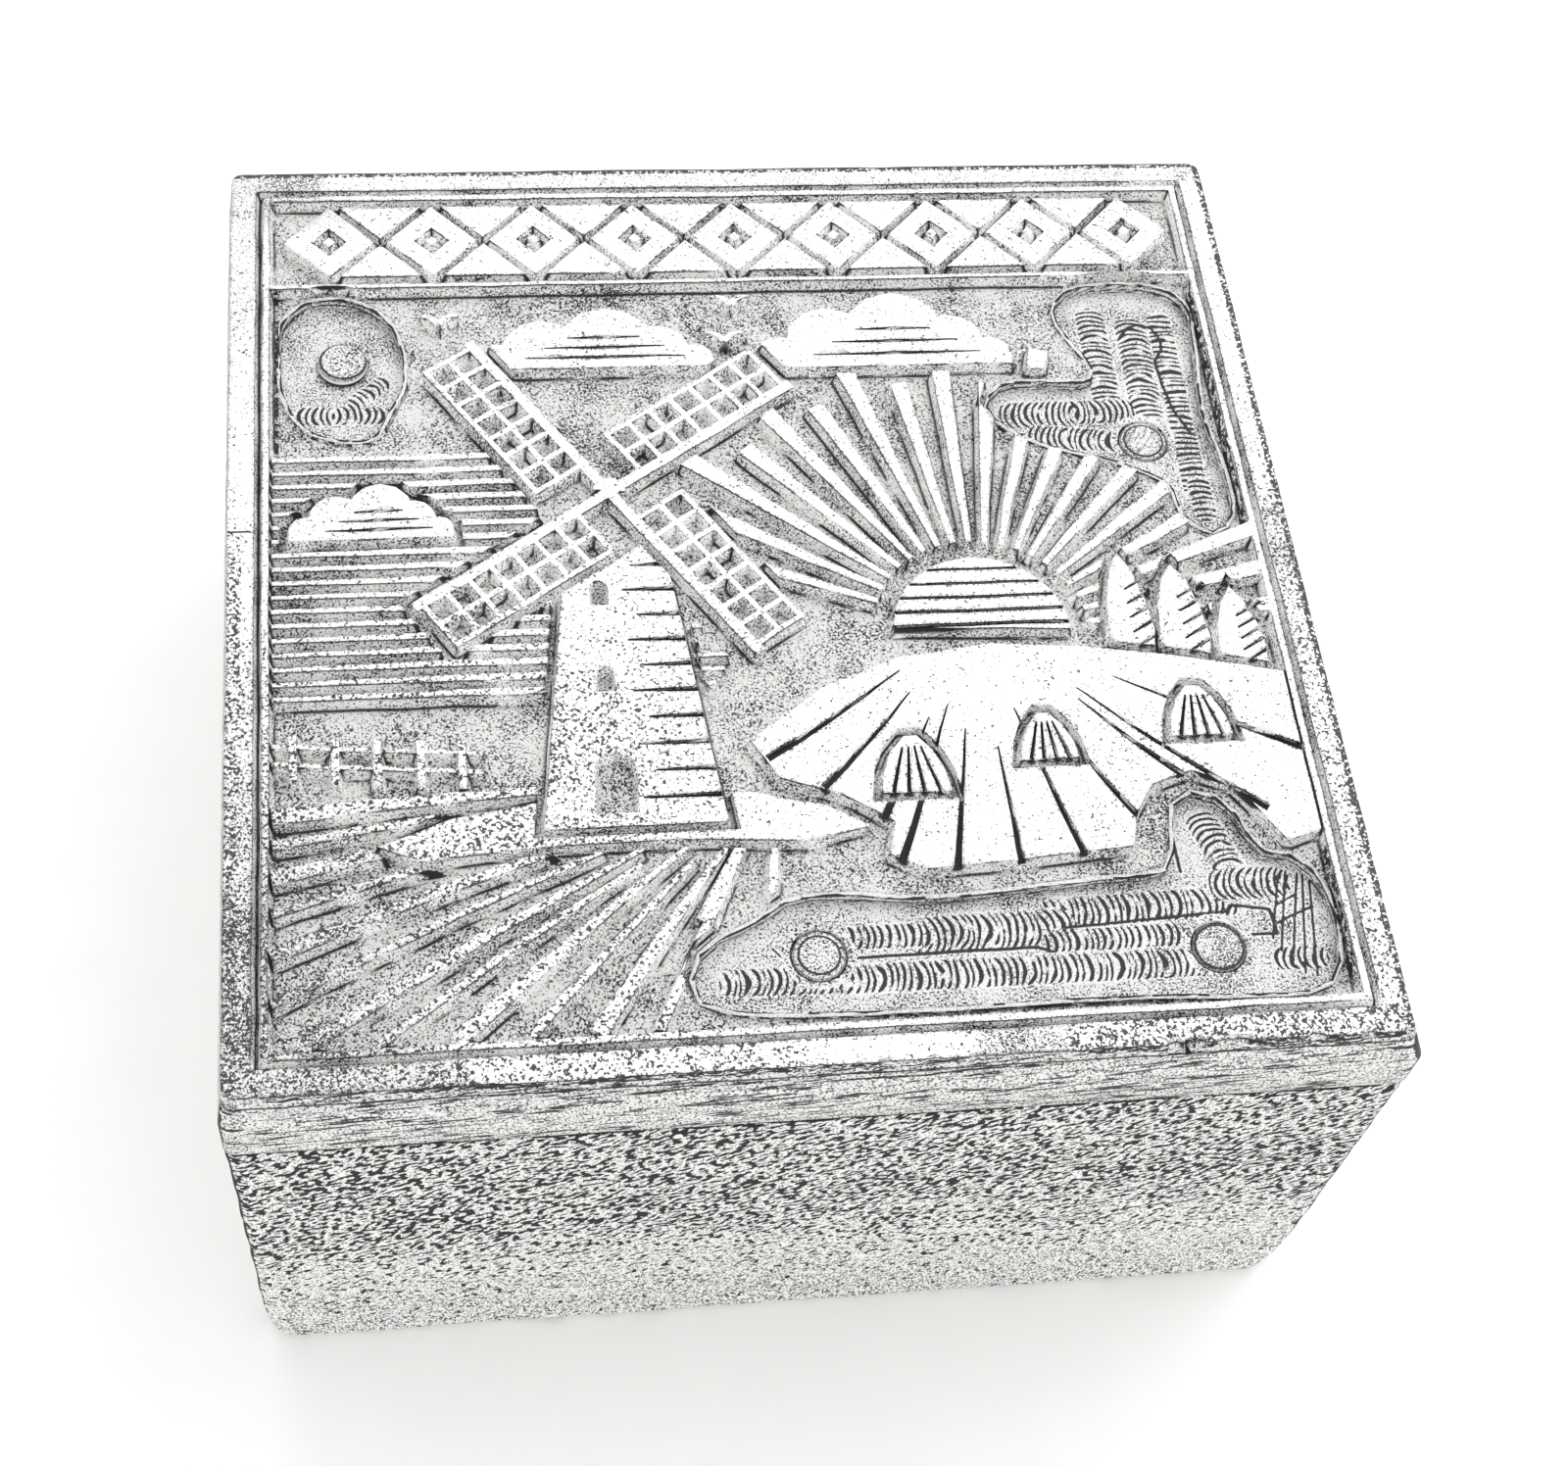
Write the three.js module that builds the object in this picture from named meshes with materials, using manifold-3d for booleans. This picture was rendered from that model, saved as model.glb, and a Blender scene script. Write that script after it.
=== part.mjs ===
// A letterpress printing block: a relief plate, made of a hard shell on a soft metal backing,
// nailed through its routed pockets to a wooden mount.
// Units are millimetres and +Z is up. The bed of the press is z = 0, and the origin is the
// middle of the mount's underside. -Y is the side nearest the reader of this model.
import * as THREE from "three";
import { mergeVertices } from "three/addons/utils/BufferGeometryUtils.js";
import Module from "manifold-3d";

const wasm = await Module();
wasm.setup();

// The whole block
const typeHeight = 23.3; // bed to printing face, the height of printer's type
const plateThickness = 4.1; // shell and backing together
const mountHeight = typeHeight - plateThickness;
const mountWidth = 41.2;
const mountDepth = 40.4;
const mountCorner = 0.5; // radius of the upright corners
const footWear = 0.4; // rounding of the arris round the underside
const footCorner = 1.3; // radius of the upright corners at the underside, where they are worn most
const cornerWearHeight = 5; // how far up the corners are worn
const cutOverrun = 1; // how far every cutting solid runs past what it cuts

// The plate's sloping flanks: its face is smaller than its foot
const leftFlare = 0.32;
const rightFlare = 0.95;
const frontFlare = 0.22;
const rearFlare = 0.07;
const flankDrop = 2.3; // height over which the flanks slope
const faceCorner = 0.45;
const faceWidth = mountWidth - leftFlare - rightFlare;
const faceDepth = mountDepth - frontFlare - rearFlare;
const faceMiddle = new THREE.Vector2((leftFlare - rightFlare) / 2, (frontFlare - rearFlare) / 2);

// The shell and its relief
const shellThickness = 0.75;
const reliefDepth = 0.55; // printing face to etched floor
const shoulder = 0.13; // how far an etched wall leans out on its way down
const rootDepth = 0.05; // how far raised work is rooted in the floor
const graverDepth = 0.24; // depth of fine lines cut in the face
const borderWidth = 0.95;
const grooveWidth = 0.3;
const ruleWidth = 0.24;
const pictureInset = borderWidth + grooveWidth + ruleWidth;
const pictureWidth = faceWidth - 2 * pictureInset;
const pictureDepth = faceDepth - 2 * pictureInset;
const faceZ = typeHeight;
const floorZ = faceZ - reliefDepth;
const shellFootZ = faceZ - shellThickness;

// The routed pockets
const pocketDepth = 0.95; // printing face to pocket floor
const pocketFloorZ = faceZ - pocketDepth;
const pocketMargin = 0.4; // bare floor kept round a pocket
const burrWidth = 0.16; // ridge that the cutter leaves round a pocket
const burrHeight = 0.14;
const pocketSteps = 60; // points round a pocket's outline

// The nails and their holes
const headRadius = 0.94;
const headHeight = 0.42;
const headEdge = 0.1;
const headDome = 0.04;
const shankRadius = 0.52;
const nailLength = 12.7; // under the head to the point
const pointLength = 1.5;
const headClearance = 0.08;
const plateClearance = 0.1;
const pilotClearance = 0.06;
const pilotOverrun = 0.4; // hole left under the point
const sinkDepth = 0.4; // how far the head's seat lies under the pocket floor
const nailFacets = 24;
const seatZ = pocketFloorZ - sinkDepth;
const proudLift = 0.35; // one nail was not driven home

// Places on the plate are shares of the picture's width and depth, from its middle
const across = (share) => share * pictureWidth;
const along = (share) => share * pictureDepth;
const place = ([u, v]) => new THREE.Vector2(across(u), along(v));
const places = (shares) => shares.map(place);
const ontoPlate = (point) => point.clone().add(faceMiddle);

// Solids from geometries, and back
function solidFrom(geometry) {
  const bare = geometry.index ? geometry.toNonIndexed() : geometry.clone();
  bare.deleteAttribute("normal");
  bare.deleteAttribute("uv");
  const merged = mergeVertices(bare);
  const mesh = new wasm.Mesh({
    numProp: 3,
    vertProperties: merged.attributes.position.array,
    triVerts: new Uint32Array(merged.index.array),
  });
  return new wasm.Manifold(mesh);
}

function geometryFrom(solid) {
  const mesh = solid.getMesh();
  const geometry = new THREE.BufferGeometry();
  geometry.setAttribute("position", new THREE.BufferAttribute(mesh.vertProperties, mesh.numProp));
  geometry.setIndex(new THREE.BufferAttribute(mesh.triVerts, 1));
  const faceted = geometry.toNonIndexed();
  faceted.computeVertexNormals();
  return faceted;
}

const joined = (solids) => solids.reduce((whole, next) => whole.add(next));

// A straight-sided prism of a shape, between two heights.
function prism(shape, bottom, top) {
  const geometry = new THREE.ExtrudeGeometry(shape, { depth: top - bottom, bevelEnabled: false });
  geometry.translate(0, 0, bottom);
  return solidFrom(geometry);
}

// Raised work: the shape is its printing face, and its walls lean out down to the floor.
function raised(shape, top = faceZ) {
  const drop = top - floorZ + rootDepth;
  const lean = (shoulder * drop) / reliefDepth;
  const geometry = new THREE.ExtrudeGeometry(shape, {
    depth: rootDepth,
    bevelEnabled: true,
    bevelThickness: drop,
    bevelSize: lean,
    bevelSegments: 1,
  });
  geometry.translate(0, 0, top - drop - rootDepth);
  return solidFrom(geometry);
}

// A fine line cut in the printing face, and a gap cleared down to the floor.
const engraved = (shape) => prism(shape, faceZ - graverDepth, faceZ + cutOverrun);
const cleared = (shape) => prism(shape, floorZ - rootDepth - cutOverrun, faceZ + cutOverrun);

// Outlines
const archSteps = 6;
const cornerSteps = 4;
const polygon = (points) => new THREE.Shape(points);

function rectangle(width, height, x = 0, y = 0) {
  const w = width / 2;
  const h = height / 2;
  return [
    new THREE.Vector2(x - w, y - h),
    new THREE.Vector2(x + w, y - h),
    new THREE.Vector2(x + w, y + h),
    new THREE.Vector2(x - w, y + h),
  ];
}

function roundedRectangle(width, height, radius, x = 0, y = 0) {
  const corners = [
    [1, 1, 0],
    [-1, 1, 1],
    [-1, -1, 2],
    [1, -1, 3],
  ];
  return corners.flatMap(([sx, sy, quarter]) => {
    const cx = x + sx * (width / 2 - radius);
    const cy = y + sy * (height / 2 - radius);
    return Array.from({ length: cornerSteps + 1 }, (_, i) => {
      const angle = ((quarter + i / cornerSteps) * Math.PI) / 2;
      return new THREE.Vector2(cx + radius * Math.cos(angle), cy + radius * Math.sin(angle));
    });
  });
}

// An upright opening or head with a half-round top.
function arch(x, foot, width, height) {
  const points = [new THREE.Vector2(x - width / 2, foot), new THREE.Vector2(x + width / 2, foot)];
  const spring = foot + height - width / 2;
  for (let i = 0; i <= archSteps; i++) {
    const angle = (Math.PI * i) / archSteps;
    const reach = new THREE.Vector2(Math.cos(angle), Math.sin(angle)).multiplyScalar(width / 2);
    points.push(reach.add(new THREE.Vector2(x, spring)));
  }
  return points;
}

// A closed outline moved outwards by a distance, corner by corner.
function grown(points, distance) {
  const turn = THREE.ShapeUtils.area(points) > 0 ? 1 : -1;
  return points.map((point, i) => {
    const before = points[(i + points.length - 1) % points.length];
    const after = points[(i + 1) % points.length];
    const a = point.clone().sub(before).normalize();
    const b = after.clone().sub(point).normalize();
    const outward = new THREE.Vector2(a.y + b.y, -a.x - b.x).normalize();
    const mitre = Math.max(outward.dot(new THREE.Vector2(a.y, -a.x)), 0.5);
    return point.clone().addScaledVector(outward, (turn * distance) / mitre);
  });
}

// A smooth closed outline through hand-set points.
function smoothLoop(points, steps) {
  const curve = new THREE.CatmullRomCurve3(
    points.map((p) => new THREE.Vector3(p.x, p.y, 0)),
    true,
    "centripetal",
  );
  return curve
    .getSpacedPoints(steps)
    .slice(0, steps)
    .map((p) => new THREE.Vector2(p.x, p.y));
}

// A stroke along a line of points, with its own width at each.
function stroke(points, widths) {
  const left = [];
  const right = [];
  points.forEach((point, i) => {
    const before = points[Math.max(i - 1, 0)];
    const after = points[Math.min(i + 1, points.length - 1)];
    const heading = after.clone().sub(before).normalize();
    const side = new THREE.Vector2(-heading.y, heading.x).multiplyScalar(widths[i] / 2);
    left.push(point.clone().add(side));
    right.push(point.clone().sub(side));
  });
  return polygon([...right, ...left.reverse()]);
}

// A stroke that bends from start past a middle point to its end, swelling from one width to the other.
function bentStroke(start, middle, end, startWidth, endWidth, steps = 4) {
  const curve = new THREE.QuadraticBezierCurve(start, middle, end);
  const points = curve.getPoints(steps);
  return stroke(
    points,
    points.map((_, i) => startWidth + ((endWidth - startWidth) * i) / steps),
  );
}

const bar = (start, end, startWidth, endWidth = startWidth) => stroke([start, end], [startWidth, endWidth]);

// A solid through level outlines, from the lowest to the highest, all with the same number of points.
function stacked(levels) {
  const count = levels[0].outline.length;
  const positions = levels.flatMap(({ z, outline }) => outline.flatMap((p) => [p.x, p.y, z]));
  const faces = [];
  for (let level = 0; level + 1 < levels.length; level++) {
    for (let i = 0; i < count; i++) {
      const next = (i + 1) % count;
      const a = level * count + i;
      const b = level * count + next;
      faces.push(a, b, b + count, a, b + count, a + count);
    }
  }
  const last = (levels.length - 1) * count;
  THREE.ShapeUtils.triangulateShape(levels[0].outline, []).forEach(([a, b, c]) => faces.push(a, c, b));
  THREE.ShapeUtils.triangulateShape(levels.at(-1).outline, []).forEach(([a, b, c]) =>
    faces.push(last + a, last + b, last + c),
  );
  const geometry = new THREE.BufferGeometry();
  geometry.setAttribute("position", new THREE.Float32BufferAttribute(positions, 3));
  geometry.setIndex(faces);
  return solidFrom(geometry);
}

// The plate's outline at a height, from its foot's vertical band up to its face.
function plateOutline(z) {
  const share = Math.min(Math.max((faceZ - z) / flankDrop, 0), 1);
  const left = -mountWidth / 2 + leftFlare * (1 - share);
  const right = mountWidth / 2 - rightFlare * (1 - share);
  const front = -mountDepth / 2 + frontFlare * (1 - share);
  const rear = mountDepth / 2 - rearFlare * (1 - share);
  return roundedRectangle(right - left, rear - front, faceCorner, (left + right) / 2, (front + rear) / 2);
}

// Routed pockets: outlines set by hand, as shares of the picture
const pocketShares = {
  rear_left: [
    [-0.457, 0.366], [-0.414, 0.366], [-0.38, 0.34], [-0.364, 0.289], [-0.366, 0.248], [-0.376, 0.227],
    [-0.397, 0.185], [-0.422, 0.182], [-0.462, 0.198], [-0.484, 0.238], [-0.489, 0.283], [-0.485, 0.341],
  ],
  rear_right: [
    [0.348, 0.349], [0.368, 0.365], [0.46, 0.366], [0.489, 0.344], [0.489, 0.283], [0.481, 0.187],
    [0.489, 0.122], [0.489, 0.065], [0.467, 0.036], [0.437, 0.055], [0.429, 0.098], [0.382, 0.127],
    [0.285, 0.165], [0.25, 0.203], [0.268, 0.233], [0.32, 0.237], [0.368, 0.237], [0.372, 0.259],
    [0.354, 0.294], [0.343, 0.324],
  ],
  front: [
    [-0.119, -0.444], [-0.106, -0.415], [-0.056, -0.39], [-0.021, -0.369], [0.036, -0.367],
    [0.101, -0.374], [0.266, -0.364], [0.344, -0.355], [0.354, -0.325], [0.359, -0.289],
    [0.389, -0.274], [0.416, -0.296], [0.435, -0.34], [0.466, -0.349], [0.488, -0.379],
    [0.489, -0.454], [0.473, -0.482], [0.279, -0.484], [-0.078, -0.479], [-0.113, -0.467],
  ],
};
const pockets = Object.fromEntries(
  Object.entries(pocketShares).map(([name, shares]) => [name, smoothLoop(places(shares), pocketSteps)]),
);
const pocketOutlines = Object.values(pockets);

// Nails: one in each blank corner, two along the front
const nails = {
  nail_rear_left: { share: [-0.426, 0.289], lift: proudLift },
  nail_rear_right: { share: [0.415, 0.165], lift: 0 },
  nail_front_middle: { share: [0, -0.42], lift: 0 },
  nail_front_right: { share: [0.38, -0.433], lift: 0 },
};
const nailPlaces = Object.fromEntries(
  Object.entries(nails).map(([name, { share, lift }]) => {
    const { x, y } = ontoPlate(place(share));
    return [name, new THREE.Vector3(x, y, seatZ + lift)];
  }),
);

// The picture: motifs laid one over another, each with a cleared line round it
const fineLine = 0.17;
const mediumLine = 0.28;
const boldLine = 0.5;
const keyline = 0.34; // bare line kept round a motif laid over another

// Head band: a row of lozenges with an eye, and darts between them
const bandCount = 9;
const bandMargin = 0.3;
const bandDrop = 2.2; // picture's rear edge to the band's middle
const lozengeGap = 0.5;
const lozengeHeight = 3.6;
const eyeWidth = 1.4;
const pupilWidth = 0.5;
const dartGap = 0.42;
const bandRuleDrop = 4.5; // picture's rear edge to the thin rule under the band

function headBand() {
  const pitch = (pictureWidth - 2 * bandMargin) / bandCount;
  const middle = pictureDepth / 2 - bandDrop;
  const lozengeWidth = pitch - lozengeGap;
  const slope = lozengeHeight / lozengeWidth;
  const lozenge = (x, width) => [
    new THREE.Vector2(x - width / 2, middle),
    new THREE.Vector2(x, middle - (width * slope) / 2),
    new THREE.Vector2(x + width / 2, middle),
    new THREE.Vector2(x, middle + (width * slope) / 2),
  ];
  const solids = [];
  for (let i = 0; i < bandCount; i++) {
    const x = pitch * (i - (bandCount - 1) / 2);
    const diamond = polygon(lozenge(x, lozengeWidth));
    diamond.holes.push(new THREE.Path(lozenge(x, eyeWidth)));
    solids.push(raised(diamond), raised(polygon(lozenge(x, pupilWidth))));
  }
  const dartHalf = pitch / 2 - dartGap;
  for (let i = 1; i < bandCount; i++) {
    const x = pitch * (i - bandCount / 2);
    for (const side of [-1, 1]) {
      const base = middle + (side * lozengeHeight) / 2;
      const dart = [
        new THREE.Vector2(x - dartHalf, base),
        new THREE.Vector2(x + dartHalf, base),
        new THREE.Vector2(x, base - side * dartHalf * slope),
      ];
      solids.push(raised(polygon(side > 0 ? dart.reverse() : dart)));
    }
  }
  const ruleY = pictureDepth / 2 - bandRuleDrop;
  solids.push(raised(polygon(rectangle(pictureWidth, fineLine, 0, ruleY))));
  return joined(solids);
}

// Sun: a disc low on the right, cut by level lines, with long and short rays
const sunShare = [0.2, -0.085];
const sunRadius = 3.3;
const sunFacets = 36;
const sunLines = 6;
const sunLinePitch = 0.62;
const rayCount = 19;
const firstRayDegrees = 4;
const lastRayDegrees = 158;
const rayGap = 0.75;
const longRay = 9.9;
const shortRay = 7.8;
const rayTaperDegrees = 3.1; // a ray's spread, seen from the sun's middle

function sunAndRays() {
  const sun = place(sunShare);
  const disc = new THREE.Shape().absarc(sun.x, sun.y, sunRadius, 0, 2 * Math.PI, false);
  const solids = [raised(polygon(disc.getPoints(sunFacets).slice(0, sunFacets)))];
  for (let i = 0; i < rayCount; i++) {
    const share = i / (rayCount - 1);
    const angle = THREE.MathUtils.degToRad(firstRayDegrees + (lastRayDegrees - firstRayDegrees) * share);
    const spread = Math.tan(THREE.MathUtils.degToRad(rayTaperDegrees));
    const start = sunRadius + rayGap;
    const end = start + (i % 2 ? shortRay : longRay);
    const heading = new THREE.Vector2(Math.cos(angle), Math.sin(angle));
    const from = sun.clone().addScaledVector(heading, start);
    const to = sun.clone().addScaledVector(heading, end);
    solids.push(raised(bar(from, to, start * spread, end * spread)));
  }
  return joined(solids);
}

function sunCuts() {
  const sun = place(sunShare);
  const cuts = [];
  for (let i = 0; i < sunLines; i++) {
    const y = sun.y + sunLinePitch * (i + 0.5);
    const half = Math.sqrt(Math.max(sunRadius ** 2 - (y - sun.y) ** 2, 0));
    const width = fineLine * (1 - i / (2 * sunLines));
    cuts.push(
      engraved(bar(new THREE.Vector2(sun.x - half, y), new THREE.Vector2(sun.x + half, y), width)),
    );
  }
  return joined(cuts);
}

// Evening sky on the left: level lines of uneven length
const skyShares = { left: -0.497, topRight: -0.17, bottomRight: -0.035, top: 0.15, bottom: -0.165 };
const skyPitch = 0.62;
const skyRaggedShares = [0, 0.012, 0.03, 0.008, 0.02];

function skyLines() {
  const count = Math.floor(along(skyShares.top - skyShares.bottom) / skyPitch);
  const lines = [];
  for (let i = 0; i < count; i++) {
    const y = along(skyShares.top) - i * skyPitch;
    const ragged = skyRaggedShares[i % skyRaggedShares.length];
    const from = new THREE.Vector2(across(skyShares.left), y);
    const right = THREE.MathUtils.lerp(skyShares.topRight, skyShares.bottomRight, i / count);
    const to = new THREE.Vector2(across(right - ragged), y);
    const line = stroke([from, from.clone().lerp(to, 0.5), to], [fineLine, mediumLine, fineLine]);
    lines.push(raised(line));
  }
  return joined(lines);
}

// Clouds: round heads of several heights side by side on a level foot
const clouds = {
  high: { footShare: [0.145, 0.256], sizeShares: [0.275, 0.1] },
  middle: { footShare: [-0.165, 0.262], sizeShares: [0.254, 0.08] },
  low: { footShare: [-0.4, 0.05], sizeShares: [0.162, 0.067] },
};
const headShares = [
  // place, width and height, as shares of the cloud
  [-0.4, 0.2, 0.42],
  [-0.21, 0.34, 0.8],
  [0.06, 0.4, 1],
  [0.27, 0.26, 0.68],
  [0.42, 0.16, 0.36],
];
const cloudCutShares = [0.66, 0.5, 0.3];

function cloudOutlines({ footShare, sizeShares }) {
  const foot = place(footShare);
  const { x: width, y: height } = place(sizeShares);
  return headShares.map(([at, w, h]) => arch(foot.x + at * width, foot.y, w * width, h * height));
}

function cloudCuts({ footShare, sizeShares }) {
  const foot = place(footShare);
  const { x: width, y: height } = place(sizeShares);
  const cuts = cloudCutShares.map((share, i) => {
    const middle = new THREE.Vector2(foot.x + width * 0.05, foot.y + (height * (i + 1)) / 6);
    const half = new THREE.Vector2((width * share) / 2, 0);
    const ends = [middle.clone().sub(half), middle, middle.clone().add(half)];
    return engraved(stroke(ends, [fineLine / 3, fineLine, fineLine / 3]));
  });
  return joined(cuts);
}

// Windmill: a tapering tower with a domed cap, and four lattice sails
const millShare = [-0.16, 0.1];
const sailLength = 8.7;
const sailWidth = 2.3;
const sailStart = 1.5;
const sailTurnDegrees = 34;
const sailCells = 7;
const latticeBar = 0.2;
const sparWidth = 0.42;
const hubRadius = 0.62;
const towerTopWidth = 3.3;
const towerFootWidth = 6.4;
const towerTopDrop = 1.2; // hub down to the tower's top
const towerHeight = 13.2;
const capRise = 3;
const capWidth = 4;
const capSteps = 10;
const millFacets = 16;
const courseCount = 11;
const windowWidth = 0.7;
const windowHeight = 1.1;
const windowShares = [0.42, 0.7]; // of the tower's height
const doorWidth = 1.5;
const doorHeight = 2.5;

const sailAngles = [0, 1, 2, 3].map((quarter) => THREE.MathUtils.degToRad(sailTurnDegrees + quarter * 90));

function turnedAboutHub(points, angle) {
  const hub = place(millShare);
  return points.map((p) => p.clone().rotateAround(new THREE.Vector2(), angle).add(hub));
}

// A sail lies on one side of its spar, which runs out from the hub along +X before it is turned.
function sail(angle) {
  const inner = sailStart;
  const outer = sailLength;
  const cloth = polygon(
    turnedAboutHub(
      [
        new THREE.Vector2(inner, sparWidth / 2 - latticeBar),
        new THREE.Vector2(outer, sparWidth / 2 - latticeBar),
        new THREE.Vector2(outer, sailWidth),
        new THREE.Vector2(inner, sailWidth),
      ],
      angle,
    ),
  );
  const cell = (outer - inner - latticeBar) / sailCells;
  const rows = 2;
  const rowHeight = (sailWidth - sparWidth / 2 - latticeBar) / rows;
  for (let i = 0; i < sailCells; i++) {
    for (let row = 0; row < rows; row++) {
      const x = inner + latticeBar + i * cell;
      const y = sparWidth / 2 + row * rowHeight + latticeBar * row * 0.5;
      const hole = [
        new THREE.Vector2(x, y),
        new THREE.Vector2(x + cell - latticeBar, y),
        new THREE.Vector2(x + cell - latticeBar, y + rowHeight - latticeBar * 0.5),
        new THREE.Vector2(x, y + rowHeight - latticeBar * 0.5),
      ];
      cloth.holes.push(new THREE.Path(turnedAboutHub(hole, angle)));
    }
  }
  const reach = outer + latticeBar;
  const spar = polygon(turnedAboutHub(rectangle(reach, sparWidth, reach / 2), angle));
  return raised(cloth).add(raised(spar));
}

function sailHalo(angle) {
  const width = sailWidth + sparWidth / 2;
  const outline = rectangle(
    sailLength + keyline,
    width + 2 * keyline,
    (sailLength + keyline) / 2 + latticeBar,
    width / 2 - sparWidth / 2,
  );
  return cleared(polygon(turnedAboutHub(outline, angle)));
}

function towerOutline() {
  const hub = place(millShare);
  const top = hub.y - towerTopDrop;
  return [
    new THREE.Vector2(hub.x - towerFootWidth / 2, top - towerHeight),
    new THREE.Vector2(hub.x + towerFootWidth / 2, top - towerHeight),
    new THREE.Vector2(hub.x + towerTopWidth / 2, top),
    new THREE.Vector2(hub.x - towerTopWidth / 2, top),
  ];
}

function capOutline() {
  const hub = place(millShare);
  const foot = hub.y - towerTopDrop + keyline;
  const points = [];
  for (let i = 0; i <= capSteps; i++) {
    const angle = (Math.PI * i) / capSteps;
    const reach = new THREE.Vector2((capWidth / 2) * Math.cos(angle), capRise * Math.sin(angle));
    points.push(reach.add(new THREE.Vector2(hub.x, foot)));
  }
  return points;
}

function tower() {
  const hub = place(millShare);
  const foot = hub.y - towerTopDrop - towerHeight;
  const walls = polygon(towerOutline());
  walls.holes.push(new THREE.Path(arch(hub.x - doorWidth * 0.4, foot + boldLine, doorWidth, doorHeight)));
  windowShares.forEach((share) => {
    const y = foot + towerHeight * share;
    walls.holes.push(new THREE.Path(arch(hub.x - windowWidth, y, windowWidth, windowHeight)));
  });
  return raised(walls).add(raised(polygon(capOutline())));
}

// Courses of brick, cut on the tower's shaded side.
function towerCuts() {
  const hub = place(millShare);
  const foot = hub.y - towerTopDrop - towerHeight;
  const cuts = [];
  for (let i = 1; i <= courseCount; i++) {
    const share = i / (courseCount + 1);
    const half = (towerFootWidth + (towerTopWidth - towerFootWidth) * share) / 2;
    const y = foot + towerHeight * share;
    const from = new THREE.Vector2(hub.x + half * (i % 2 ? 0.1 : 0.28), y);
    const to = new THREE.Vector2(hub.x + half + shoulder, y);
    cuts.push(engraved(bar(from, to, fineLine / 2, fineLine * 1.4)));
  }
  return joined(cuts);
}

// Land: a mound under the mill, a solid hill on the right, ploughed ground in the near left
const moundShares = [
  [-0.4, -0.298], [-0.33, -0.272], [-0.24, -0.257], [-0.14, -0.252], [-0.05, -0.258],
  [0.02, -0.275], [0.06, -0.3], [0, -0.312], [-0.12, -0.304], [-0.26, -0.306], [-0.36, -0.316],
];
const hillShares = [
  [-0.045, -0.2], [0.03, -0.145], [0.11, -0.113], [0.2, -0.1], [0.3, -0.107], [0.4, -0.124],
  [0.497, -0.145], [0.497, -0.325], [0.462, -0.336], [0.446, -0.31], [0.42, -0.27], [0.38, -0.254],
  [0.34, -0.268], [0.318, -0.3], [0.31, -0.334], [0.2, -0.343], [0.11, -0.348], [0.075, -0.33],
  [0.085, -0.296], [0.035, -0.262], [-0.02, -0.243],
];
const furrowVanishShare = [0.19, -0.075];
const furrowStartShare = 0.36; // where a furrow begins, on its way from the horizon
const furrowEndShares = [
  [-0.03, -0.222], [0.02, -0.256], [0.075, -0.29], [0.085, -0.34], [0.135, -0.36], [0.2, -0.36],
  [0.265, -0.355], [0.325, -0.31], [0.375, -0.262], [0.45, -0.3], [0.5, -0.235],
];

function hillCuts() {
  const vanish = place(furrowVanishShare);
  const cuts = furrowEndShares.map((share, i) => {
    const end = place(share);
    const start = vanish.clone().lerp(end, furrowStartShare + (i % 3) * 0.07);
    const middle = start.clone().lerp(end, 0.5).add(new THREE.Vector2(0, -fineLine * (1 + (i % 2))));
    return engraved(bentStroke(start, middle, end, fineLine / 3, fineLine * 1.8));
  });
  return joined(cuts);
}

// Ploughed ridges run from behind the mound to the picture's near left edge.
const ridgeVanishShare = [-0.02, -0.235];
const ridgeEndShares = [
  [-0.497, -0.262], [-0.497, -0.292], [-0.497, -0.325], [-0.497, -0.362], [-0.497, -0.404],
  [-0.497, -0.452], [-0.475, -0.497], [-0.405, -0.497], [-0.335, -0.497], [-0.27, -0.497],
  [-0.21, -0.497], [-0.155, -0.497],
  [-0.105, -0.392], [-0.04, -0.366],
];
const ridgeStartShare = 0.3;

function ridges() {
  const vanish = place(ridgeVanishShare);
  const solids = ridgeEndShares.map((share, i) => {
    const end = place(share);
    const start = vanish.clone().lerp(end, ridgeStartShare + (i % 2) * 0.06);
    const middle = start.clone().lerp(end, 0.5).add(new THREE.Vector2(0, boldLine / 2));
    return raised(bentStroke(start, middle, end, fineLine, boldLine * (i % 2 ? 0.7 : 1.25)));
  });
  return joined(solids);
}

// Haycocks stand on the hill.
const haycocks = [
  { footShare: [0.11, -0.265], sizeShares: [0.068, 0.065] },
  { footShare: [0.245, -0.235], sizeShares: [0.057, 0.054] },
  { footShare: [0.4, -0.215], sizeShares: [0.062, 0.059] },
];
const strawCount = 4;

function haycockOutline({ footShare, sizeShares }) {
  const foot = place(footShare);
  const { x: width, y: height } = place(sizeShares);
  const profileShares = [
    [-0.5, 0], [0.5, 0], [0.44, 0.35], [0.3, 0.7], [0.1, 0.96], [-0.1, 0.96], [-0.3, 0.7], [-0.44, 0.35],
  ];
  return profileShares.map(([u, v]) => new THREE.Vector2(foot.x + u * width, foot.y + v * height));
}

function haycockCuts({ footShare, sizeShares }) {
  const foot = place(footShare);
  const { x: width, y: height } = place(sizeShares);
  const tip = new THREE.Vector2(foot.x, foot.y + height * 1.3);
  const cuts = [];
  for (let i = 0; i < strawCount; i++) {
    const share = (i + 0.5) / strawCount - 0.5;
    const end = new THREE.Vector2(foot.x + share * width * 0.9, foot.y);
    cuts.push(engraved(bar(tip.clone().lerp(end, 0.4), end, fineLine / 2, fineLine)));
  }
  return joined(cuts);
}

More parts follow.
